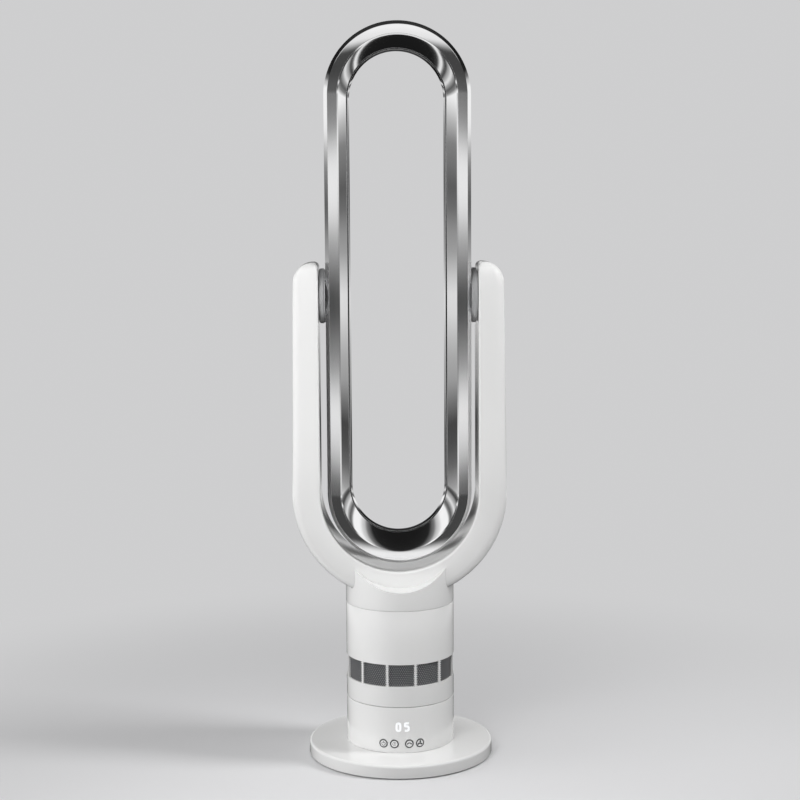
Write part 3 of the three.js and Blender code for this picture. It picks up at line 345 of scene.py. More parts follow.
def cut(piece, *tools):
    """Cuts the tools out of a piece."""
    for tool in tools:
        step = piece.modifiers.new("cut", "BOOLEAN")
        step.operation = "DIFFERENCE"
        step.solver = "EXACT"
        step.object = tool
    finished(piece, *tools)
    piece.data.shade_smooth()
    piece.data.set_sharp_from_angle(angle=math.radians(SHARP))
    return piece


rubber = surface("rubber", (0.020, 0.020, 0.021, 1), 0.75, shade=0.25, grain=700, relief=0.00006)
steel = surface(
    "steel", (0.50, 0.505, 0.51, 1), 0.34, metal=1, shade=0.12, stretch=(1, 14, 1), relief=0.00001)

foot_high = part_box("foot_ring")[1]
FOOT_WIDTH = 14 * MM
FOOT_EDGE = 0.4 * MM
RIB_SIDE = 0.2 * MM              # rounding of a moulded rib towards the groove between the ribs
GROOVE = 0.6 * MM
FOOT_BEVEL = (2 * MM, 0.5 * MM)  # width and height
RIB_END = 5 * MM                 # from the ring's edge
foot_outer = foot_high.x
foot_inner = foot_outer - FOOT_WIDTH
half_foot = [
    (0, FOOT_BEVEL[1], FOOT_EDGE), (FOOT_BEVEL[0], 0, FOOT_EDGE), (RIB_END, 0, RIB_SIDE),
    (RIB_END + GROOVE, GROOVE, 0),
]
foot_ring_rubber = turned("foot_ring_rubber", rounded(
    [(foot_inner, foot_high.z, 0), (foot_outer, foot_high.z, FOOT_EDGE)]
    + [(foot_outer - inwards, z, radius) for inwards, z, radius in half_foot]
    + [(foot_inner + inwards, z, radius) for inwards, z, radius in reversed(half_foot)]
), rubber)
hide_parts("foot_ring")
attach(foot_ring_rubber, "base")

plate_low, plate_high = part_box("ballast_plate")
weight = turned("steel_weight", rounded([
    (0, plate_low.z, 0), (plate_high.x, plate_low.z, 0.5 * MM), (plate_high.x, plate_high.z, 0.5 * MM),
    (0, plate_high.z, 0),
]), steel)
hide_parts("ballast_plate")
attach(weight, "base")

SHANK = 1.35 * MM
SHANK_POINT = 0.5 * MM
HEAD_RADIUS = 2.35 * MM
HEAD_HEIGHT = 1.3 * MM
HEAD_ROUNDING = 1.1 * MM
RECESS = (1.3 * MM, 0.42 * MM, 0.8 * MM)   # half length, width and depth of the cross


def cross_bar(turn):
    """One bar of a cross recess, let into the underside of a screw's head."""
    long, wide, deep = RECESS
    shape = bmesh.new()
    bmesh.ops.create_cube(shape, size=1, matrix=Matrix.Rotation(turn, 4, "Z") @ Matrix.Diagonal((
        2 * long, wide, 2 * deep, 1)))
    return piece_from("bar", shape, steel)


for k in (1, 2, 3):
    low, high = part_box(f"base_screw_{k}")
    length = high.z - low.z
    base_screw = turned(f"pan_head_screw_{k}", rounded([
        (0, 0, 0), (HEAD_RADIUS, 0, HEAD_ROUNDING), (HEAD_RADIUS, HEAD_HEIGHT, 0.1 * MM),
        (SHANK, HEAD_HEIGHT, 0), (SHANK, length - SHANK_POINT, 0), (SHANK - SHANK_POINT, length, 0),
        (0, length, 0),
    ]), steel, sides=48)
    cut(base_screw, cross_bar(0), cross_bar(math.pi / 2))
    base_screw.data.transform(Matrix.Translation(((low.x + high.x) / 2, (low.y + high.y) / 2, low.z)))
    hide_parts(f"base_screw_{k}")
    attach(base_screw, "base")

# ------------------------------------------------------------------ control collar
# The lowest stretch of the column is one white moulded tube. Its wall is pierced for four
# push buttons in front and for the power socket at the back.

collar_low, collar_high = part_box("collar_shell")
BODY_RADIUS = collar_high.x
SHELL_WALL = 2.5 * MM
RIM_ROUNDING = 0.45 * MM
DRILL_DEPTH = 6 * MM
DRILL_SPARE = 1 * MM             # how far a drill stands out of the wall
HOLE_FLARE = 0.35 * MM
BUTTONS = ("power", "timer", "swing", "speed")


def out_of_wall(turn, height):
    """Lays a piece that stands on the axis so that it points out of the column's wall."""
    lying = Matrix.Rotation(turn, 4, "Z") @ Matrix.Rotation(math.pi / 2, 4, "X")
    return Matrix.Translation((0, 0, height)) @ lying


def hole_cutter(radius, turn, height):
    """A drill that lies across the wall, flared where it leaves the outside."""
    drill = turned("drill", [
        (0, BODY_RADIUS - DRILL_DEPTH), (radius, BODY_RADIUS - DRILL_DEPTH),
        (radius, BODY_RADIUS - HOLE_FLARE),
        (radius + HOLE_FLARE * 0.3, BODY_RADIUS - HOLE_FLARE * 0.3),
        (radius + HOLE_FLARE * 1.6, BODY_RADIUS + DRILL_SPARE), (0, BODY_RADIUS + DRILL_SPARE),
    ], gloss_white, sides=64)
    drill.data.transform(out_of_wall(turn, height))
    return drill


button_places = {}
for name in BUTTONS:
    low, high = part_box(f"{name}_button")
    middle = (low + high) / 2
    button_places[name] = (math.atan2(middle.x, -middle.y), middle.z)
BUTTON_RADIUS = 5.3 * MM
BUTTON_GAP = 0.3 * MM
socket_low, socket_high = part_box("power_inlet")
SOCKET_OUTER = 5.5 * MM
socket_height = (socket_low.z + socket_high.z) / 2

collar_tube = turned("collar_tube", rounded([
    (BODY_RADIUS, collar_low.z, 0.3 * MM), (BODY_RADIUS, collar_high.z, RIM_ROUNDING),
    (BODY_RADIUS - SHELL_WALL, collar_high.z, 0.3 * MM), (BODY_RADIUS - SHELL_WALL, collar_low.z, 0),
]), gloss_white)
cut(
    collar_tube,
    *[hole_cutter(BUTTON_RADIUS + BUTTON_GAP, turn, z) for turn, z in button_places.values()],
    hole_cutter(SOCKET_OUTER + BUTTON_GAP, math.pi, socket_height),
)
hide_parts("collar_shell")
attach(collar_tube, "base")

# ------------------------------------------------------------------ push buttons
# Four moulded caps of the collar's own white, which travel 0.8 mm, each with a lip behind the
# wall and a stem. A dark ring and a dark sign are printed on each: power, timer, swing, speed.

CAP_CROWN = 0.22 * MM
CAP_STANDS = 0.3 * MM            # out of the wall
CAP_EDGE = 0.3 * MM
CAP_LIP = 0.9 * MM
CAP_LIP_DEPTH = 2 * MM
STEM_RADIUS = 2 * MM
STEM_CLEAR = 0.9 * MM            # a button's travel, and what is left to its key switch then
switch_face = -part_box("control_board")[0].y
INK_THICKNESS = 0.03 * MM
INK_DEPTH = 0.15 * MM
cap_face = BODY_RADIUS + CAP_STANDS
lip_front = math.sqrt((BODY_RADIUS - SHELL_WALL) ** 2 - (BUTTON_RADIUS + CAP_LIP) ** 2) - BUTTON_GAP
lip_back = lip_front - CAP_LIP_DEPTH
printed_grey = surface("printed_grey", (0.055, 0.055, 0.06, 1), 0.45, shade=0.1)


def arc(x, y, radius, start, end, steps=12):
    """Points along an arc, from one angle to another in degrees."""
    turns = [math.radians(start + (end - start) * k / steps) for k in range(steps + 1)]
    return [(x + radius * math.cos(turn), y + radius * math.sin(turn)) for turn in turns]


def block(shape, near, far):
    """A closed block between two outlines of as many points each."""
    near = [shape.verts.new(point) for point in near]
    far = [shape.verts.new(point) for point in far]
    shape.faces.new(near[::-1])
    shape.faces.new(far)
    for k in range(len(near)):
        after = (k + 1) % len(near)
        shape.faces.new((near[k], near[after], far[after], far[k]))


def filled(shape, outline, place):
    """A printed patch within an outline; place puts (x, y, lift) where it lies."""
    block(shape, *[[place(x, y, lift) for x, y in outline] for lift in (-INK_DEPTH, INK_THICKNESS)])


def stroke(shape, line, width, place, closed=False):
    """A printed stroke of even width along a line of points, put where place says."""
    count = len(line)
    sides = []
    for k, point in enumerate(line):
        before = line[k - 1] if k or closed else point
        after = line[(k + 1) % count] if closed or k + 1 < count else point
        along = (Vector(after) - Vector(before)).normalized()
        across = Vector((-along.y, along.x)) * width / 2
        sides.append((Vector(point) + across, Vector(point) - across))
    rows = []
    for left, right in sides:
        rows.append([shape.verts.new(place(*spot, lift)) for spot, lift in (
            (left, INK_THICKNESS), (right, INK_THICKNESS), (right, -INK_DEPTH), (left, -INK_DEPTH))])
    for k in range(count if closed else count - 1):
        here, after = rows[k], rows[(k + 1) % count]
        for j in range(4):
            shape.faces.new((here[j], here[(j + 1) % 4], after[(j + 1) % 4], after[j]))
    if not closed:
        shape.faces.new(rows[0])
        shape.faces.new(rows[-1][::-1])


def power_sign(shape, place):
    stroke(shape, arc(0, -0.2 * MM, 2.25 * MM, 125, 415, 24), 0.8 * MM, place)
    stroke(shape, [(0, 0.1 * MM), (0, 2.9 * MM)], 0.8 * MM, place)


def timer_sign(shape, place):
    stroke(shape, arc(0, 0, 2.1 * MM, 0, 345, 24)[:-1], 0.45 * MM, place)
    stroke(shape, [(0, 1.5 * MM), (0, 0), (1.1 * MM, -0.5 * MM)], 0.5 * MM, place)


def swing_sign(shape, place):
    stroke(shape, arc(0, -1.9 * MM, 3.0 * MM, 50, 130), 1.15 * MM, place)
    for side in (-1, 1):
        head = [(side * x * MM, y * MM) for x, y in ((1.2, -0.3), (3.1, -1.2), (2.7, 1.1))]
        filled(shape, head if side < 0 else head[::-1], place)


def speed_sign(shape, place):
    for turn in (90, 210, 330):
        spin = Matrix.Rotation(math.radians(turn), 2)
        leaf = [(0.1, -0.3), (1.2, -1.25), (2.6, -1.35), (3.7, -0.4), (3.5, 0.5), (2.0, 0.9), (0.4, 0.6)]
        filled(shape, [tuple(spin @ Vector((x * MM, y * MM))) for x, y in leaf], place)


def on_cap(x, y, lift):
    """A place on a cap's crowned face, with the cap pointing up."""
    return (x, y, cap_face - CAP_CROWN * (x * x + y * y) / BUTTON_RADIUS**2 + lift)


SIGNS = {"power": power_sign, "timer": timer_sign, "swing": swing_sign, "speed": speed_sign}
RING_RADIUS = 4.62 * MM
RING_WIDTH = 1.25 * MM
for name in BUTTONS:
    turn, height = button_places[name]
    stem_foot = (switch_face + STEM_CLEAR) / math.cos(turn) + STEM_RADIUS * math.tan(abs(turn))
    crown = [(BUTTON_RADIUS * s, cap_face - CAP_CROWN * s * s) for s in (0.95, 0.8, 0.6, 0.35, 0)]
    cap = turned(f"{name}_cap", rounded([
        (0, stem_foot, 0), (STEM_RADIUS, stem_foot, CAP_EDGE), (STEM_RADIUS, lip_back, CAP_EDGE),
        (BUTTON_RADIUS + CAP_LIP, lip_back, CAP_EDGE), (BUTTON_RADIUS + CAP_LIP, lip_front, CAP_EDGE),
        (BUTTON_RADIUS, lip_front, 0), (BUTTON_RADIUS, cap_face - CAP_CROWN, CAP_EDGE),
    ]) + crown, gloss_white, sides=64)
    sign = bmesh.new()
    stroke(sign, arc(0, 0, RING_RADIUS, 0, 360, 48)[:-1], RING_WIDTH, on_cap, closed=True)
    SIGNS[name](sign, on_cap)
    print_on_cap = piece_from(f"{name}_print", sign, printed_grey)
    for piece in (cap, print_on_cap):
        piece.data.transform(out_of_wall(turn, height))
        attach(piece, f"{name}_key")
    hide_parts(f"{name}_button")

# ------------------------------------------------------------------ display
# Two plain digits glow through the collar's wall above the buttons, lit from the display
# block behind it. They are chunky and rounded, drawn with one even stroke.

DIGIT_HALF_WIDTH = 2.35 * MM     # to the middle of the stroke, as the height is
DIGIT_HALF_HEIGHT = 4.7 * MM
DIGIT_STROKE = 2.2 * MM
DIGIT_BEND = 2.3 * MM
DIGIT_CORNER = 1.2 * MM
FIVE_WAIST = 0.9 * MM            # above the digit's middle
DIGIT_PITCH = 10.4 * MM
DIGITS_HEIGHT = 50.8 * MM
DIGITS_OFFSET = 1.1 * MM

glow = bpy.data.materials.new("display_glow")
glow.use_nodes = True
glow_tree = glow.node_tree
glow_shader = glow_tree.nodes["Principled BSDF"]
glow_shader.inputs["Base Color"].default_value = (0.35, 0.36, 0.38, 1)
glow_shader.inputs["Roughness"].default_value = 0.3
glow_grain = between(glow_tree, fine_noise(glow_tree, 600), 0, 1)
glow_tone = mixed(glow_tree, glow_grain, (0.93, 0.96, 1, 1), (1, 1, 1, 1))
glow_tree.links.new(glow_tone, glow_shader.inputs["Emission Color"])
glow_shader.inputs["Emission Strength"].default_value = 0.85

wide = DIGIT_HALF_WIDTH
tall = DIGIT_HALF_HEIGHT
nought = rounded([
    (-wide, -tall, DIGIT_BEND), (wide, -tall, DIGIT_BEND),
    (wide, tall, DIGIT_BEND), (-wide, tall, DIGIT_BEND),
], steps=8)
five = rounded([
    (wide, tall, 0), (-wide, tall, DIGIT_CORNER), (-wide, FIVE_WAIST, DIGIT_CORNER),
    (wide, FIVE_WAIST, DIGIT_BEND), (wide, -tall, DIGIT_BEND), (-wide, -tall, 0),
], steps=8)


def on_collar(middle):
    """Places for a digit that lies round the collar, its middle so far from the front's."""
    def place(x, y, lift):
        turn = (middle + x) / BODY_RADIUS
        radius = BODY_RADIUS + lift
        return (radius * math.sin(turn), -radius * math.cos(turn), DIGITS_HEIGHT + y)
    return place


digits = bmesh.new()
stroke(digits, nought, DIGIT_STROKE, on_collar(DIGITS_OFFSET - DIGIT_PITCH / 2), closed=True)
stroke(digits, five, DIGIT_STROKE, on_collar(DIGITS_OFFSET + DIGIT_PITCH / 2))
display_digits = piece_from("display_digits", digits, glow)
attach(display_digits, "base")

# ------------------------------------------------------------------ power socket
# A low-voltage socket in the back of the collar: a black moulded barrel with a flange behind
# the wall, round a plated centre pin.

black_plastic = surface(
    "black_plastic", (0.018, 0.018, 0.019, 1), 0.42, shade=0.2, grain=900, relief=0.00003)
brass = surface(
    "brass", (0.62, 0.43, 0.15, 1), 0.25, metal=1, shade=0.12, stretch=(1, 12, 1), relief=0.00001)
SOCKET_BORE = 2.85 * MM
SOCKET_DEPTH = 10 * MM
PIN_RADIUS = 1 * MM
PIN_SETBACK = 1 * MM             # its tip behind the socket's face
PIN_SUNK = 1 * MM                # its foot in the socket's floor
FLANGE_RADIUS = 8 * MM
FLANGE_DEPTH = 2.5 * MM
socket_face = socket_high.y
socket_foot = socket_low.y
socket_floor = socket_face - SOCKET_DEPTH
flange_face = math.sqrt((BODY_RADIUS - SHELL_WALL) ** 2 - FLANGE_RADIUS**2) - BUTTON_GAP
flange_back = flange_face - FLANGE_DEPTH
socket_barrel = turned("socket_barrel", rounded([
    (0, socket_foot, 0), (SOCKET_OUTER, socket_foot, 0.5 * MM), (SOCKET_OUTER, flange_back, 0),
    (FLANGE_RADIUS, flange_back, 0.3 * MM), (FLANGE_RADIUS, flange_face, 0.3 * MM),
    (SOCKET_OUTER, flange_face, 0), (SOCKET_OUTER, socket_face, 0.5 * MM),
    (SOCKET_BORE, socket_face, 0.6 * MM), (SOCKET_BORE, socket_floor, 0.3 * MM), (0, socket_floor, 0),
]), black_plastic, sides=64)
socket_pin = turned("socket_pin", rounded([
    (0, socket_floor - PIN_SUNK, 0), (PIN_RADIUS, socket_floor - PIN_SUNK, 0),
    (PIN_RADIUS, socket_face - PIN_SETBACK, 0.6 * MM), (0, socket_face - PIN_SETBACK, 0),
]), brass, sides=32)
out_of_back = Matrix.Translation((0, 0, socket_height)) @ Matrix.Rotation(-math.pi / 2, 4, "X")
for piece, slot in ((socket_barrel, "grey_plastic"), (socket_pin, "brass")):
    piece.data.transform(out_of_back)
    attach(piece, "base")
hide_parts("power_inlet")

# ------------------------------------------------------------------ intake body
# The swivelling stretch of the column is a white moulded drum. Twelve windows go round it,
# parted by slim ribs whose edges carry a row of small teeth.

WINDOW_COUNT = 12
WINDOW_BOTTOM = 101.5 * MM
WINDOW_HEIGHT = 27.7 * MM
RIB_CORE = 0.75 * MM             # middle of a rib to the foot of its teeth
TOOTH = 1.6 * MM
TEETH = 10
CUT_DEPTH = 12 * MM
CUT_SPARE = 2 * MM               # how far the cutter stands out of the wall
FLOOR_HOLE = 24 * MM
intake_low, intake_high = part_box("intake_shell")


def tree_of(name, **kinds):
    """A new geometry tree with a mesh output and these named inputs, and its inputs' sockets."""
    tree = bpy.data.node_groups.new(name, "GeometryNodeTree")
    tree.interface.new_socket("Mesh", in_out="OUTPUT", socket_type="NodeSocketGeometry")
    for label, kind in kinds.items():
        tree.interface.new_socket(label, in_out="INPUT", socket_type=f"NodeSocket{kind}")
    return tree, linked(tree, "NodeGroupInput").outputs


def ended(tree, geometry, finish):
    """Ends a tree with real faces in place of instances, and their finish."""
    faces = linked(tree, "GeometryNodeRealizeInstances", {0: geometry}).outputs[0]
    covered = linked(tree, "GeometryNodeSetMaterial", {"Geometry": faces, "Material": finish}).outputs[0]
    linked(tree, "NodeGroupOutput", {0: covered})


def reckoned(tree, operation, *values):
    """The result of a sum in a tree."""
    return linked(tree, "ShaderNodeMath", dict(enumerate(values)), operation=operation).outputs[0]


def grown(name, tree, sharp=SHARP, **values):
    """The plain mesh that a tree makes from these values."""
    piece = bpy.data.objects.new(name, bpy.data.meshes.new(name))
    scene.collection.objects.link(piece)
    step = piece.modifiers.new("tree", "NODES")
    step.node_group = tree
    for item in tree.interface.items_tree:
        if item.in_out == "INPUT":
            step[item.identifier] = values[item.name]
    finished(piece)
    piece.data.shade_smooth()
    piece.data.set_sharp_from_angle(angle=math.radians(sharp))
    return piece


def vector(tree, **parts):
    """A vector in a tree, from its X, Y and Z; those not given are 0."""
    return linked(tree, "ShaderNodeCombineXYZ", parts).outputs[0]


def copied(tree, points, item, turn=(0, 0, 0)):
    """A turned copy of an item's mesh on each of the points."""
    mesh = linked(tree, "GeometryNodeObjectInfo", {"Object": item}).outputs["Geometry"]
    return linked(tree, "GeometryNodeInstanceOnPoints", {
        "Points": points, "Instance": mesh, "Rotation": turn,
    }).outputs[0]


ring_tree, ring_in = tree_of("ring_of", Item="Object", Count="Int", Finish="Material")
ring_points = linked(ring_tree, "GeometryNodeMeshLine", {
    "Count": ring_in["Count"], "Offset": (0, 0, 0),
}).outputs[0]
ring_step = reckoned(ring_tree, "DIVIDE", 2 * math.pi, ring_in["Count"])
ring_number = linked(ring_tree, "GeometryNodeInputIndex").outputs[0]
ring_turn = reckoned(ring_tree, "MULTIPLY", ring_number, ring_step)
ring_copies = copied(ring_tree, ring_points, ring_in["Item"], vector(ring_tree, Z=ring_turn))
ended(ring_tree, ring_copies, ring_in["Finish"])


def all_round(name, item, count, finish):
    """Copies of an item all round the column's axis; the item itself is used up."""
    piece = grown(name, ring_tree, Item=item, Count=count, Finish=finish)
    bpy.data.objects.remove(item)
    return piece


def window_cutter():
    """A straight block through the front wall, its sides notched to leave the ribs' teeth."""
    half = math.pi / WINDOW_COUNT
    wide = BODY_RADIUS * math.sin(half - RIB_CORE / BODY_RADIUS)
    narrow = BODY_RADIUS * math.sin(half - (RIB_CORE + TOOTH) / BODY_RADIUS)
    pitch = WINDOW_HEIGHT / TEETH
    tooth = ((0.2, wide), (0.35, narrow), (0.65, narrow), (0.8, wide))
    side = [(wide, 0)]
    for k in range(TEETH):
        side += [(reach, pitch * (k + share)) for share, reach in tooth]
    side.append((wide, WINDOW_HEIGHT))
    outline = side + [(-x, z) for x, z in reversed(side)]
    shape = bmesh.new()
    block(shape, *[
        [(x, y, WINDOW_BOTTOM + z) for x, z in outline]
        for y in (-BODY_RADIUS + CUT_DEPTH, -BODY_RADIUS - CUT_SPARE)
    ])
    return piece_from("window", shape, gloss_white)


intake_drum = turned("intake_drum", rounded([
    (FLOOR_HOLE, intake_low.z, 0), (BODY_RADIUS, intake_low.z, RIM_ROUNDING),
    (BODY_RADIUS, intake_high.z, 0.3 * MM), (BODY_RADIUS - SHELL_WALL, intake_high.z, 0.3 * MM),
    (BODY_RADIUS - SHELL_WALL, intake_low.z + SHELL_WALL, 1 * MM), (FLOOR_HOLE, intake_low.z + SHELL_WALL, 0),
]), gloss_white)
cut(intake_drum, all_round("windows", window_cutter(), WINDOW_COUNT, gloss_white))
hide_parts("intake_shell")
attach(intake_drum, "head")

# ------------------------------------------------------------------ air screen
# Behind the windows stands a dark grey sheet ring, 1 mm thick, punched all over with fine
# round holes in staggered rows, with a plain band along its top and bottom edges.

HOLE_PITCH = 2.7 * MM
HOLE_RADIUS = 0.92 * MM
HOLE_SIDES = 12
SHEET = 1 * MM
BAND_SETBACK = 0.8 * MM          # a plain band's edge from the windows
BAND_EXTRA = 0.1 * MM            # how much thicker a plain band is than the sheet
MERGE_DISTANCE = 0.02 * MM
ROW_OFFSET = 100.25              # keeps the row numbers above 0, and clear of the halves
screen_low, screen_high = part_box("intake_screen")
screen_radius = screen_high.x
dark_screen = surface("dark_screen", (0.240, 0.243, 0.250, 1), 0.5, metal=0.3, shade=0.15, relief=0.00002)

tile = bmesh.new()
flat = HOLE_PITCH / 2
rim, edge = [], []
for k in range(HOLE_SIDES):
    turn = 2 * math.pi * k / HOLE_SIDES
    reach = flat if k % 2 == 0 else flat / math.cos(math.pi / 6)
    edge.append(tile.verts.new((reach * math.cos(turn), reach * math.sin(turn), 0)))
    rim.append(tile.verts.new((HOLE_RADIUS * math.cos(turn), HOLE_RADIUS * math.sin(turn), 0)))
for k in range(HOLE_SIDES):
    after = (k + 1) % HOLE_SIDES
    tile.faces.new((rim[k], edge[k], edge[after], rim[after]))
tile_data = bpy.data.meshes.new("tile")
tile.to_mesh(tile_data)
tile.free()
punched_tile = bpy.data.objects.new("tile", tile_data)
scene.collection.objects.link(punched_tile)


def moved(tree, geometry, **where):
    """Geometry with its points at a Position, or shifted by an Offset."""
    return linked(tree, "GeometryNodeSetPosition", {"Geometry": geometry, **where}).outputs[0]


def places(tree):
    """The X, Y and Z of the points of a geometry."""
    position = linked(tree, "GeometryNodeInputPosition").outputs[0]
    return linked(tree, "ShaderNodeSeparateXYZ", {0: position}).outputs


sheet_tree, sheet_in = tree_of(
    "punched_ring", Tile="Object", Columns="Int", Rows="Int", Pitch="Float", Radius="Float",
    Middle="Float", Finish="Material")
row_pitch = reckoned(sheet_tree, "MULTIPLY", sheet_in["Pitch"], math.sin(math.pi / 3))
steps_across = reckoned(sheet_tree, "SUBTRACT", sheet_in["Columns"], 1.0)
steps_up = reckoned(sheet_tree, "SUBTRACT", sheet_in["Rows"], 1.0)
sheet_grid = linked(sheet_tree, "GeometryNodeMeshGrid", {
    "Size X": reckoned(sheet_tree, "MULTIPLY", steps_across, sheet_in["Pitch"]),
    "Size Y": reckoned(sheet_tree, "MULTIPLY", steps_up, row_pitch),
    "Vertices X": sheet_in["Columns"], "Vertices Y": sheet_in["Rows"],
}).outputs[0]
grid_place = places(sheet_tree)
row_place = reckoned(sheet_tree, "DIVIDE", grid_place["Y"], row_pitch)
row_number = reckoned(sheet_tree, "ROUND", reckoned(sheet_tree, "ADD", row_place, ROW_OFFSET))
odd_row = reckoned(sheet_tree, "MODULO", row_number, 2.0)
half_pitch = reckoned(sheet_tree, "MULTIPLY", sheet_in["Pitch"], 0.5)
stagger = reckoned(sheet_tree, "MULTIPLY", odd_row, half_pitch)
staggered = moved(sheet_tree, sheet_grid, Offset=vector(sheet_tree, X=stagger))
tiles = linked(sheet_tree, "GeometryNodeRealizeInstances", {
    0: copied(sheet_tree, staggered, sheet_in["Tile"]),
}).outputs[0]
around = reckoned(sheet_tree, "DIVIDE", grid_place["X"], sheet_in["Radius"])
to_front = reckoned(sheet_tree, "MULTIPLY", sheet_in["Radius"], -1.0)
wrapped = moved(sheet_tree, tiles, Position=vector(
    sheet_tree,
    X=reckoned(sheet_tree, "MULTIPLY", reckoned(sheet_tree, "SINE", around), sheet_in["Radius"]),
    Y=reckoned(sheet_tree, "MULTIPLY", reckoned(sheet_tree, "COSINE", around), to_front),
    Z=reckoned(sheet_tree, "ADD", grid_place["Y"], sheet_in["Middle"])))
merged = linked(sheet_tree, "GeometryNodeMergeByDistance", {
    "Geometry": wrapped, "Distance": MERGE_DISTANCE,
}).outputs[0]
ended(sheet_tree, merged, sheet_in["Finish"])

columns = round(2 * math.pi * screen_radius / HOLE_PITCH)
pitch = 2 * math.pi * screen_radius / columns
rows = 2 * math.ceil(WINDOW_HEIGHT / (pitch * math.sin(math.pi / 3)) / 2) + 1
punched_tile.data.transform(Matrix.Scale(pitch / HOLE_PITCH, 4))
air_screen = grown(
    "air_screen", sheet_tree, Tile=punched_tile, Columns=columns, Rows=rows, Pitch=pitch,
    Radius=screen_radius, Middle=WINDOW_BOTTOM + WINDOW_HEIGHT / 2, Finish=dark_screen)
bpy.data.objects.remove(punched_tile)
thick = air_screen.modifiers.new("sheet", "SOLIDIFY")
thick.thickness = SHEET
thick.offset = -1
finished(air_screen)
air_screen.data.set_sharp_from_angle(angle=math.radians(SHARP))
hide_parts("intake_screen")
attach(air_screen, "head")
band_inner = screen_radius - SHEET - BAND_EXTRA
for name, low, high in (
    ("screen_foot_band", screen_low.z, WINDOW_BOTTOM - BAND_SETBACK),
    ("screen_top_band", WINDOW_BOTTOM + WINDOW_HEIGHT + BAND_SETBACK, screen_high.z),
):
    band = turned(name, [
        (band_inner, low), (screen_radius, low), (screen_radius, high), (band_inner, high),
    ], dark_screen)
    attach(band, "head")

# ------------------------------------------------------------------ neck
# The top of the column is a white moulding. A curve tighter than the yoke's scoops its upper
# face, so that its horns lap over the yoke, and its skirt plugs into the intake body.

neck_low, neck_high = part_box("neck_shell")
yoke_low, yoke_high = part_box("yoke_front")
rear_low, rear_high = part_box("yoke_rear")
YOKE_OUTER = yoke_high.x
bend_height = yoke_low.z + YOKE_OUTER
NECK_SEAM = 0.4 * MM
NECK_FIT = 0.3 * MM              # clearance to the intake body's bore and to the yoke
NECK_SPARE = 15 * MM             # the blank's height over the finished horns
SCOOP_RADIUS = 76 * MM
SCOOP_DROP = 117.5 * MM          # lowest line of the scoop, below the middle of the yoke's bend
EDGE_STEPS = 9
OUTER_EDGE = (12 * MM, 8.5 * MM)   # rounding of the yoke's outer edges, across and back
seam_top = intake_high.z + NECK_SEAM
scoop_height = bend_height - SCOOP_DROP + SCOOP_RADIUS
skirt_radius = BODY_RADIUS - SHELL_WALL - NECK_FIT
neck_reach = neck_high.z + NECK_SPARE


def quarter(steps):
    """Angles over a quarter turn."""
    return [math.pi / 2 * k / steps for k in range(steps + 1)]


def log_across(name, radius, half, height, edge=(0, 0)):
    """A drum that lies along Y at a height, its edges rounded, for scooping."""
    rim = [(radius, half)]
    if edge[0]:
        rim = [
            (radius - edge[0] * (1 - math.sin(t)), half - edge[1] * (1 - math.cos(t)))
            for t in quarter(EDGE_STEPS)
        ]
    side = [(r, -y) for r, y in rim] + [(r, y) for r, y in reversed(rim)]
    log = turned(name, [(0, -half)] + side + [(0, half)], gloss_white, sides=384)
    log.data.transform(Matrix.Translation((0, 0, height)) @ Matrix.Rotation(math.pi / 2, 4, "X"))
    return log


neck_hollow = turned("hollow", [
    (0, neck_low.z - 1 * MM), (skirt_radius - SHELL_WALL, neck_low.z - 1 * MM),
    (skirt_radius - SHELL_WALL, seam_top + SHELL_WALL), (BODY_RADIUS - SHELL_WALL, seam_top + SHELL_WALL),
    (BODY_RADIUS - SHELL_WALL, neck_reach + 1 * MM), (0, neck_reach + 1 * MM),
], gloss_white)
cut(neck_hollow, log_across("log", SCOOP_RADIUS + SHELL_WALL, 2 * BODY_RADIUS, scoop_height))
neck = turned("neck", rounded([
    (0, neck_low.z, 0), (skirt_radius, neck_low.z, 0.3 * MM), (skirt_radius, seam_top, 0),
    (BODY_RADIUS, seam_top, 0.3 * MM), (BODY_RADIUS, neck_reach, 0), (0, neck_reach, 0),
]), gloss_white, sides=256)
cut(
    neck,
    log_across("log", SCOOP_RADIUS, 2 * BODY_RADIUS, scoop_height),
    log_across("log", YOKE_OUTER + NECK_FIT, rear_high.y + NECK_FIT, bend_height, OUTER_EDGE),
    neck_hollow,
)
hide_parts("neck_shell")
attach(neck, "head")

# ------------------------------------------------------------------ yoke
# The U is two white hollow mouldings that meet along a fine line behind its front face. Its
# outer edges are broadly rounded, its inner edges crisp, and its arms round over at the top.

YOKE_BAND = 35 * MM
YOKE_TAPER = 3.8 * MM
ARM_CORNER = 24 * MM
ARM_INNER_CORNER = 6.8 * MM
ARM_NOSE = 30 * MM               # height over which the front and back faces round over
ARM_NOSE_FALL = 11 * MM
INNER_EDGE = 2.6 * MM
LEAST_EDGE = 0.4 * MM
INNER_EDGE_STEPS = 5
BEND_STEPS = 96
YOKE_INNER = YOKE_OUTER - YOKE_BAND
BUSH_HOLE = 23.8 * MM
# Depths of an arm's sections below its top, closer together where it rounds over.
BELOW_TOP = [d * MM for d in (0, 0.12, 0.5, 1.1, 2, 3.2, 4.8, 6.8, 9.5, 13, 17, 21, 24, 27, 30)]


def bow(radius, depth):
    """How far a rounding of this radius has drawn in, at a depth below its top."""
    rest = max(radius - depth, 0)
    return radius - math.sqrt(radius * radius - rest * rest)


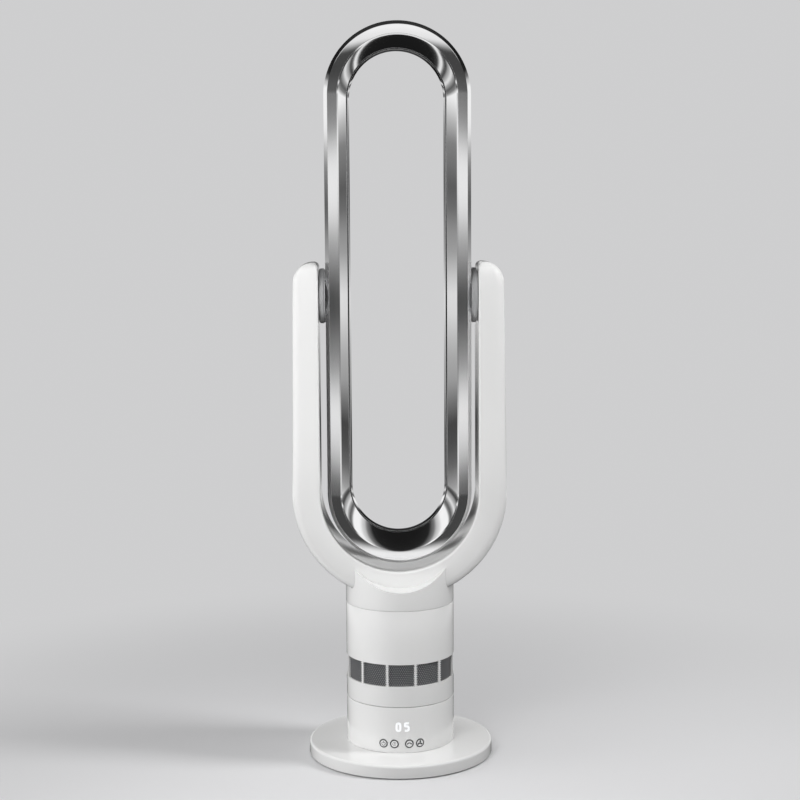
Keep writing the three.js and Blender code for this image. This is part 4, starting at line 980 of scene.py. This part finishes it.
def yoke_stations(inset):
    """Sections of the U, drawn in by an inset, from the right arm's top to the left's.

    Each is (arm, angle, height, inner, outer, fall), where the arm is 1, -1, or 0 in the bend,
    and the fall is how far the front or back face has rounded over.
    """
    top = yoke_high.z - inset
    arm = []
    for depth in BELOW_TOP:
        slim = YOKE_TAPER * min(1, (top - depth - bend_height) / (top - ARM_CORNER - bend_height))
        outer = YOKE_OUTER - inset - slim - bow(ARM_CORNER - inset, depth)
        inner = YOKE_INNER + inset + bow(ARM_INNER_CORNER - inset, depth)
        nose = ARM_NOSE - inset
        fall = ARM_NOSE_FALL * bow(nose, depth) / nose
        arm.append((None, top - depth, inner, outer, fall))
    angles = [-math.pi * k / BEND_STEPS for k in range(BEND_STEPS + 1)]
    return (
        [(1, *station) for station in arm]
        + [(0, angle, bend_height, YOKE_INNER + inset, YOKE_OUTER - inset, 0) for angle in angles]
        + [(-1, *station) for station in reversed(arm)]
    )


def yoke_skin(inset, face, parting):
    """The surface of one moulding, as rows of points from its inner to its outer parting edge."""
    side = 1 if face > parting else -1
    rows = []
    for arm, angle, height, inner, outer, fall in yoke_stations(inset):
        front = face - side * (inset + fall)
        depth = abs(front - parting)
        width = outer - inner
        small = min(max(INNER_EDGE - inset, LEAST_EDGE), 0.35 * width, 0.8 * depth)
        across = min(OUTER_EDGE[0] - inset, 0.6 * width)
        back = min(OUTER_EDGE[1] - inset, 0.8 * depth)
        line = [(inner, parting)]
        for t in quarter(INNER_EDGE_STEPS):
            line.append((inner + small * (1 - math.cos(t)), front - side * small * (1 - math.sin(t))))
        for t in quarter(EDGE_STEPS):
            line.append((outer - across * (1 - math.sin(t)), front - side * back * (1 - math.cos(t))))
        line.append((outer, parting))
        if arm:
            rows.append([Vector((arm * x, y, height)) for x, y in line])
        else:
            rows.append([Vector((x * math.cos(angle), y, height + x * math.sin(angle))) for x, y in line])
    return rows


def moulding(name, face, parting, finish):
    """A closed shell between its outer skin and its inner one."""
    shape = bmesh.new()
    skins = [
        [[shape.verts.new(point) for point in row] for row in yoke_skin(inset, face, parting)]
        for inset in (0, SHELL_WALL)
    ]
    outer, inner = skins
    last = len(outer[0]) - 1
    for k in range(len(outer) - 1):
        for skin in skins:
            for j in range(last):
                shape.faces.new((skin[k][j], skin[k][j + 1], skin[k + 1][j + 1], skin[k + 1][j]))
        for j in (0, last):
            shape.faces.new((outer[k][j], inner[k][j], inner[k + 1][j], outer[k + 1][j]))
    for k in (0, -1):
        shape.faces.new(outer[k])
        shape.faces.new(inner[k])
        shape.faces.new((outer[k][0], inner[k][0], inner[k][last], outer[k][last]))
    return piece_from(name, shape, finish)


hub_low, hub_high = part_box("hub_right")
pivot_height = (hub_high.z + hub_low.z) / 2
DRILL_HALF_LENGTH = 3 * MM


def drill_across(radius, middle):
    """A short drill that lies along X on the pivot's axis."""
    half = DRILL_HALF_LENGTH
    drill = turned("drill", [(0, -half), (radius, -half), (radius, half), (0, half)], gloss_white, sides=96)
    drill.data.transform(Matrix.Translation((middle, 0, pivot_height)) @ Matrix.Rotation(math.pi / 2, 4, "Y"))
    return drill


yoke_front_moulding = moulding("yoke_front_moulding", yoke_low.y, yoke_high.y, gloss_white)
yoke_rear_moulding = moulding("yoke_rear_moulding", rear_high.y, rear_low.y, gloss_white)
cut(yoke_rear_moulding, *[drill_across(BUSH_HOLE, side * (YOKE_INNER + SHELL_WALL / 2)) for side in (-1, 1)])
for piece, node in ((yoke_front_moulding, "yoke_front"), (yoke_rear_moulding, "yoke_rear")):
    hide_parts(node)
    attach(piece, "head")

# ------------------------------------------------------------------ hubs
# Round grey hubs fill the gaps between the arms and the loop. Each is painted in a satin
# metallic grey and runs on into a hollow spigot, through which the air reaches the loop.

HUB_RADIUS = hub_high.z - pivot_height
HUB_FACE = 97.7 * MM
HUB_ROUNDING = 3 * MM
FLANGE_STEP = 1.2 * MM           # how much smaller the rim next to the loop is
FLANGE_STEP_WIDTH = 1.6 * MM
FLANGE_STEP_END = 2 * MM
SPIGOT_OUTER = 20.5 * MM
SPIGOT_BORE = 17.5 * MM
hub_grey = surface(
    "hub_grey", (0.50, 0.503, 0.51, 1), 0.42, metal=0.3, shade=0.06, grain=900, relief=0.00001)
for side, turn in (("right", 0), ("left", math.pi)):
    hub = turned(f"hub_disc_{side}", rounded([
        (SPIGOT_BORE, hub_low.x, 0), (HUB_RADIUS - FLANGE_STEP, hub_low.x, 0.4 * MM),
        (HUB_RADIUS - FLANGE_STEP, hub_low.x + FLANGE_STEP_WIDTH, 0.3 * MM),
        (HUB_RADIUS, hub_low.x + FLANGE_STEP_END, 0.5 * MM), (HUB_RADIUS, HUB_FACE, HUB_ROUNDING),
        (SPIGOT_OUTER, HUB_FACE, 0), (SPIGOT_OUTER, hub_high.x, 0.5 * MM),
        (SPIGOT_BORE, hub_high.x, 0.5 * MM),
    ], steps=8), hub_grey, sides=128)
    lying = Matrix.Rotation(turn, 4, "Z") @ Matrix.Rotation(math.pi / 2, 4, "Y")
    hub.data.transform(Matrix.Translation((0, 0, pivot_height)) @ lying)
    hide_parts(f"hub_{side}")
    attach(hub, "loop")

# ------------------------------------------------------------------ loop
# The air loop is two silver-plated mouldings, swept round a tall stadium. In front a narrow
# chamfer and a broad bevel meet a crisp ridge, and a long face runs back to the air slot.

front_low, front_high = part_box("loop_front")
tail_low, tail_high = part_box("loop_rear")
LOOP_RADIUS = front_high.x
loop_straight = front_high.z - pivot_height - LOOP_RADIUS
PORT_RADIUS = 20.8 * MM          # where a hub's spigot opens into the loop
PORT_PATCH = 30 * MM             # half height of the short faces that the ports are cut in
ARC_POINTS = 160
LOOP_SHARP = 28                  # degrees, from which an edge of the loop is a crease
silver = surface(
    "satin_silver", (0.93, 0.93, 0.935, 1), 0.07, metal=1, shade=0.03, grain=260, stretch=(5, 5, 0.35),
    relief=0.000001)

# The loop's sections are drawn in millimetres: from its outer edge inwards, and back from the
# tilt axis.
LOOP_WALL = 2.2
SHELL_JOINT = 0.3                # between the outer walls of the two shells
SHOULDER = -28                   # front end of the outer wall's straight part
BEVEL_START = (4.63, -36)        # where the narrow chamfer meets the broad bevel
RIDGE = 17.8
RIDGE_CHAMFER = 1.5
TAIL = (27.2, 30)
AIR_SLOT = 1.6
LIP_STEP = 1.2                   # lip beyond the tail, towards the middle of the loop
LIMB = 30.7
RIDGE_SHARE = 0.02               # of the inner face, taken up by the ridge's rounding
FACE_STEPS = 14
ridge_y = front_low.y / MM
rear_start = tail_low.y / MM
back = tail_high.y / MM
air_lip = TAIL[1] + AIR_SLOT


def inner_face(share, wall=0.0):
    """A point of the long inner face, from the ridge (0) to the tail (1), gently bowed."""
    inset = RIDGE + (TAIL[0] - RIDGE) * (0.45 * share + 0.55 * share**1.6)
    return (inset - wall, ridge_y + (TAIL[1] - ridge_y) * share, 0)


faces = [RIDGE_SHARE + (1 - RIDGE_SHARE) * k / FACE_STEPS for k in range(FACE_STEPS + 1)]
outer_wall_end = rear_start - SHELL_JOINT
front_section = (
    [(0, outer_wall_end, 0.2), (0, SHOULDER, 1.2), (*BEVEL_START, 1.6),
     (RIDGE - RIDGE_CHAMFER, ridge_y + 0.1, 0.4)]
    + [inner_face(share) for share in faces]
    + [inner_face(share, LOOP_WALL) for share in reversed(faces[3:])]
    + [(RIDGE - LOOP_WALL, ridge_y + 3.6, 0), (BEVEL_START[0] + 1.8, BEVEL_START[1] + LOOP_WALL, 0),
       (LOOP_WALL, SHOULDER + 1.1, 0), (LOOP_WALL, outer_wall_end, 0)]
)
rear_section = [
    (LOOP_WALL, rear_start, 0), (LOOP_WALL, back - 8.5, 1), (LOOP_WALL + 2, back - 4.6, 1),
    (8.5, back - LOOP_WALL, 1), (LIMB - 9.2, back - LOOP_WALL, 1), (LIMB - 4.6, back - 3.9, 1),
    (TAIL[0] - 0.2, air_lip + 0.9, 0.2), (TAIL[0] + LIP_STEP, air_lip, 0.3), (LIMB, back - 2.6, 1.6),
    (LIMB - 1.6, back - 0.6, 1.6), (LIMB - 4.5, back, 2), (8, back, 4), (2.5, back - 3, 3),
    (0, back - 8, 4), (0, rear_start, 0.2),
]

sweep_tree, sweep_in = tree_of(
    "swept_loop", Section="Object", Radius="Float", Straight="Float", Height="Float", Points="Int",
    Finish="Material")
rail = linked(sweep_tree, "GeometryNodeCurvePrimitiveCircle", {
    "Resolution": sweep_in["Points"], "Radius": sweep_in["Radius"],
}).outputs[0]
half_step = reckoned(sweep_tree, "DIVIDE", math.pi, sweep_in["Points"])
rail = linked(sweep_tree, "GeometryNodeTransform", {
    "Geometry": rail, "Rotation": vector(sweep_tree, Z=half_step),
}).outputs[0]
up_or_down = reckoned(sweep_tree, "SIGN", places(sweep_tree)["Y"])
stretch_by = reckoned(sweep_tree, "MULTIPLY", up_or_down, sweep_in["Straight"])
rail = moved(sweep_tree, rail, Offset=vector(sweep_tree, Y=stretch_by))
rail = linked(sweep_tree, "GeometryNodeSetCurveNormal", {0: rail}, mode="Z_UP").outputs[0]
section = linked(sweep_tree, "GeometryNodeObjectInfo", {"Object": sweep_in["Section"]}).outputs["Geometry"]
swept = linked(sweep_tree, "GeometryNodeCurveToMesh", {"Curve": rail, "Profile Curve": section}).outputs[0]
stood = linked(sweep_tree, "GeometryNodeTransform", {
    "Geometry": swept, "Translation": vector(sweep_tree, Z=sweep_in["Height"]),
    "Rotation": (math.pi / 2, 0, 0),
}).outputs[0]
ended(sweep_tree, stood, sweep_in["Finish"])


def swept_shell(name, corners):
    """A shell of the loop, its section given in millimetres as (inset, back, rounding)."""
    line = bpy.data.curves.new("section", "CURVE")
    line.dimensions = "3D"
    spline = line.splines.new("POLY")
    outline = rounded(corners)
    spline.points.add(len(outline) - 1)
    for point, (inset, depth) in zip(spline.points, outline):
        point.co = (-inset * MM, depth * MM, 0, 1)
    spline.use_cyclic_u = True
    section_line = bpy.data.objects.new("section", line)
    scene.collection.objects.link(section_line)
    piece = grown(
        name, sweep_tree, sharp=LOOP_SHARP, Section=section_line, Radius=LOOP_RADIUS,
        Straight=loop_straight, Height=pivot_height, Points=ARC_POINTS, Finish=silver)
    bpy.data.objects.remove(section_line)
    shape = bmesh.new()
    shape.from_mesh(piece.data)
    for height in (pivot_height - PORT_PATCH, pivot_height + PORT_PATCH):
        whole = shape.verts[:] + shape.edges[:] + shape.faces[:]
        bmesh.ops.bisect_plane(shape, geom=whole, plane_co=(0, 0, height), plane_no=(0, 0, 1))
    bmesh.ops.recalc_face_normals(shape, faces=shape.faces)
    shape.to_mesh(piece.data)
    shape.free()
    return piece


loop_front_shell = swept_shell("loop_front_shell", front_section)
loop_rear_shell = swept_shell("loop_rear_shell", rear_section)
for piece, node in ((loop_front_shell, "loop_front"), (loop_rear_shell, "loop_rear")):
    cut(piece, *[drill_across(PORT_RADIUS, side * LOOP_RADIUS) for side in (-1, 1)])
    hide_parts(node)
    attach(piece, "loop")

# ------------------------------------------------------------------ works inside
# Inside are the parts that make it go: boards, stepper and gears in the collar, the turntable
# on its glide ring, and the blower. They are plain mouldings, turned steel and brass.

BOARD_GREEN = (0.012, 0.10, 0.04, 1)
grey_plastic = surface("grey_plastic", (0.092, 0.097, 0.105, 1), 0.5, shade=0.12, grain=800, relief=0.00004)
slip_plastic = surface("slip_plastic", (0.76, 0.74, 0.68, 1), 0.42, shade=0.05, grain=500, relief=0.00002)
board = surface("board", BOARD_GREEN, 0.35, shade=0.3, grain=300, relief=0.00003)
board_tree = board.node_tree
traces = linked(board_tree, "ShaderNodeTexBrick", {
    "Vector": linked(board_tree, "ShaderNodeTexCoord").outputs["Object"],
    "Color1": BOARD_GREEN, "Color2": (0.016, 0.13, 0.05, 1), "Mortar": (0.05, 0.22, 0.09, 1),
    "Scale": 300, "Mortar Size": 0.03,
})
board_tree.links.new(traces.outputs["Color"], board_tree.nodes["Principled BSDF"].inputs["Base Color"])

WORKS = {
    "steel": (steel, (
        "plate_screw_1", "plate_screw_2", "plate_screw_3", "stepper_motor", "stepper_shaft", "spindle_clip",
        "fan_motor", "motor_shaft", "hub_clip_left", "hub_clip_right")),
    "grey_plastic": (grey_plastic, (
        "bearing_plate", "chassis", "display_module", "turntable", "inlet_funnel", "diffuser_housing",
        "motor_cap")),
    "slip_plastic": (slip_plastic, (
        "glide_ring", "swivel_gear", "impeller", "pivot_bush_left", "pivot_bush_right")),
    "rubber": (rubber, ("port_seal_left", "port_seal_right")),
    "board": (board, ("power_board", "control_board")),
    "brass": (brass, ("drive_pinion",)),
}
for finish, nodes in WORKS.values():
    for node in nodes:
        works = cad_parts[node].data
        works.materials.clear()
        works.materials.append(finish)

# ------------------------------------------------------------------ update
# The scene is brought up to date.

bpy.context.view_layer.update()
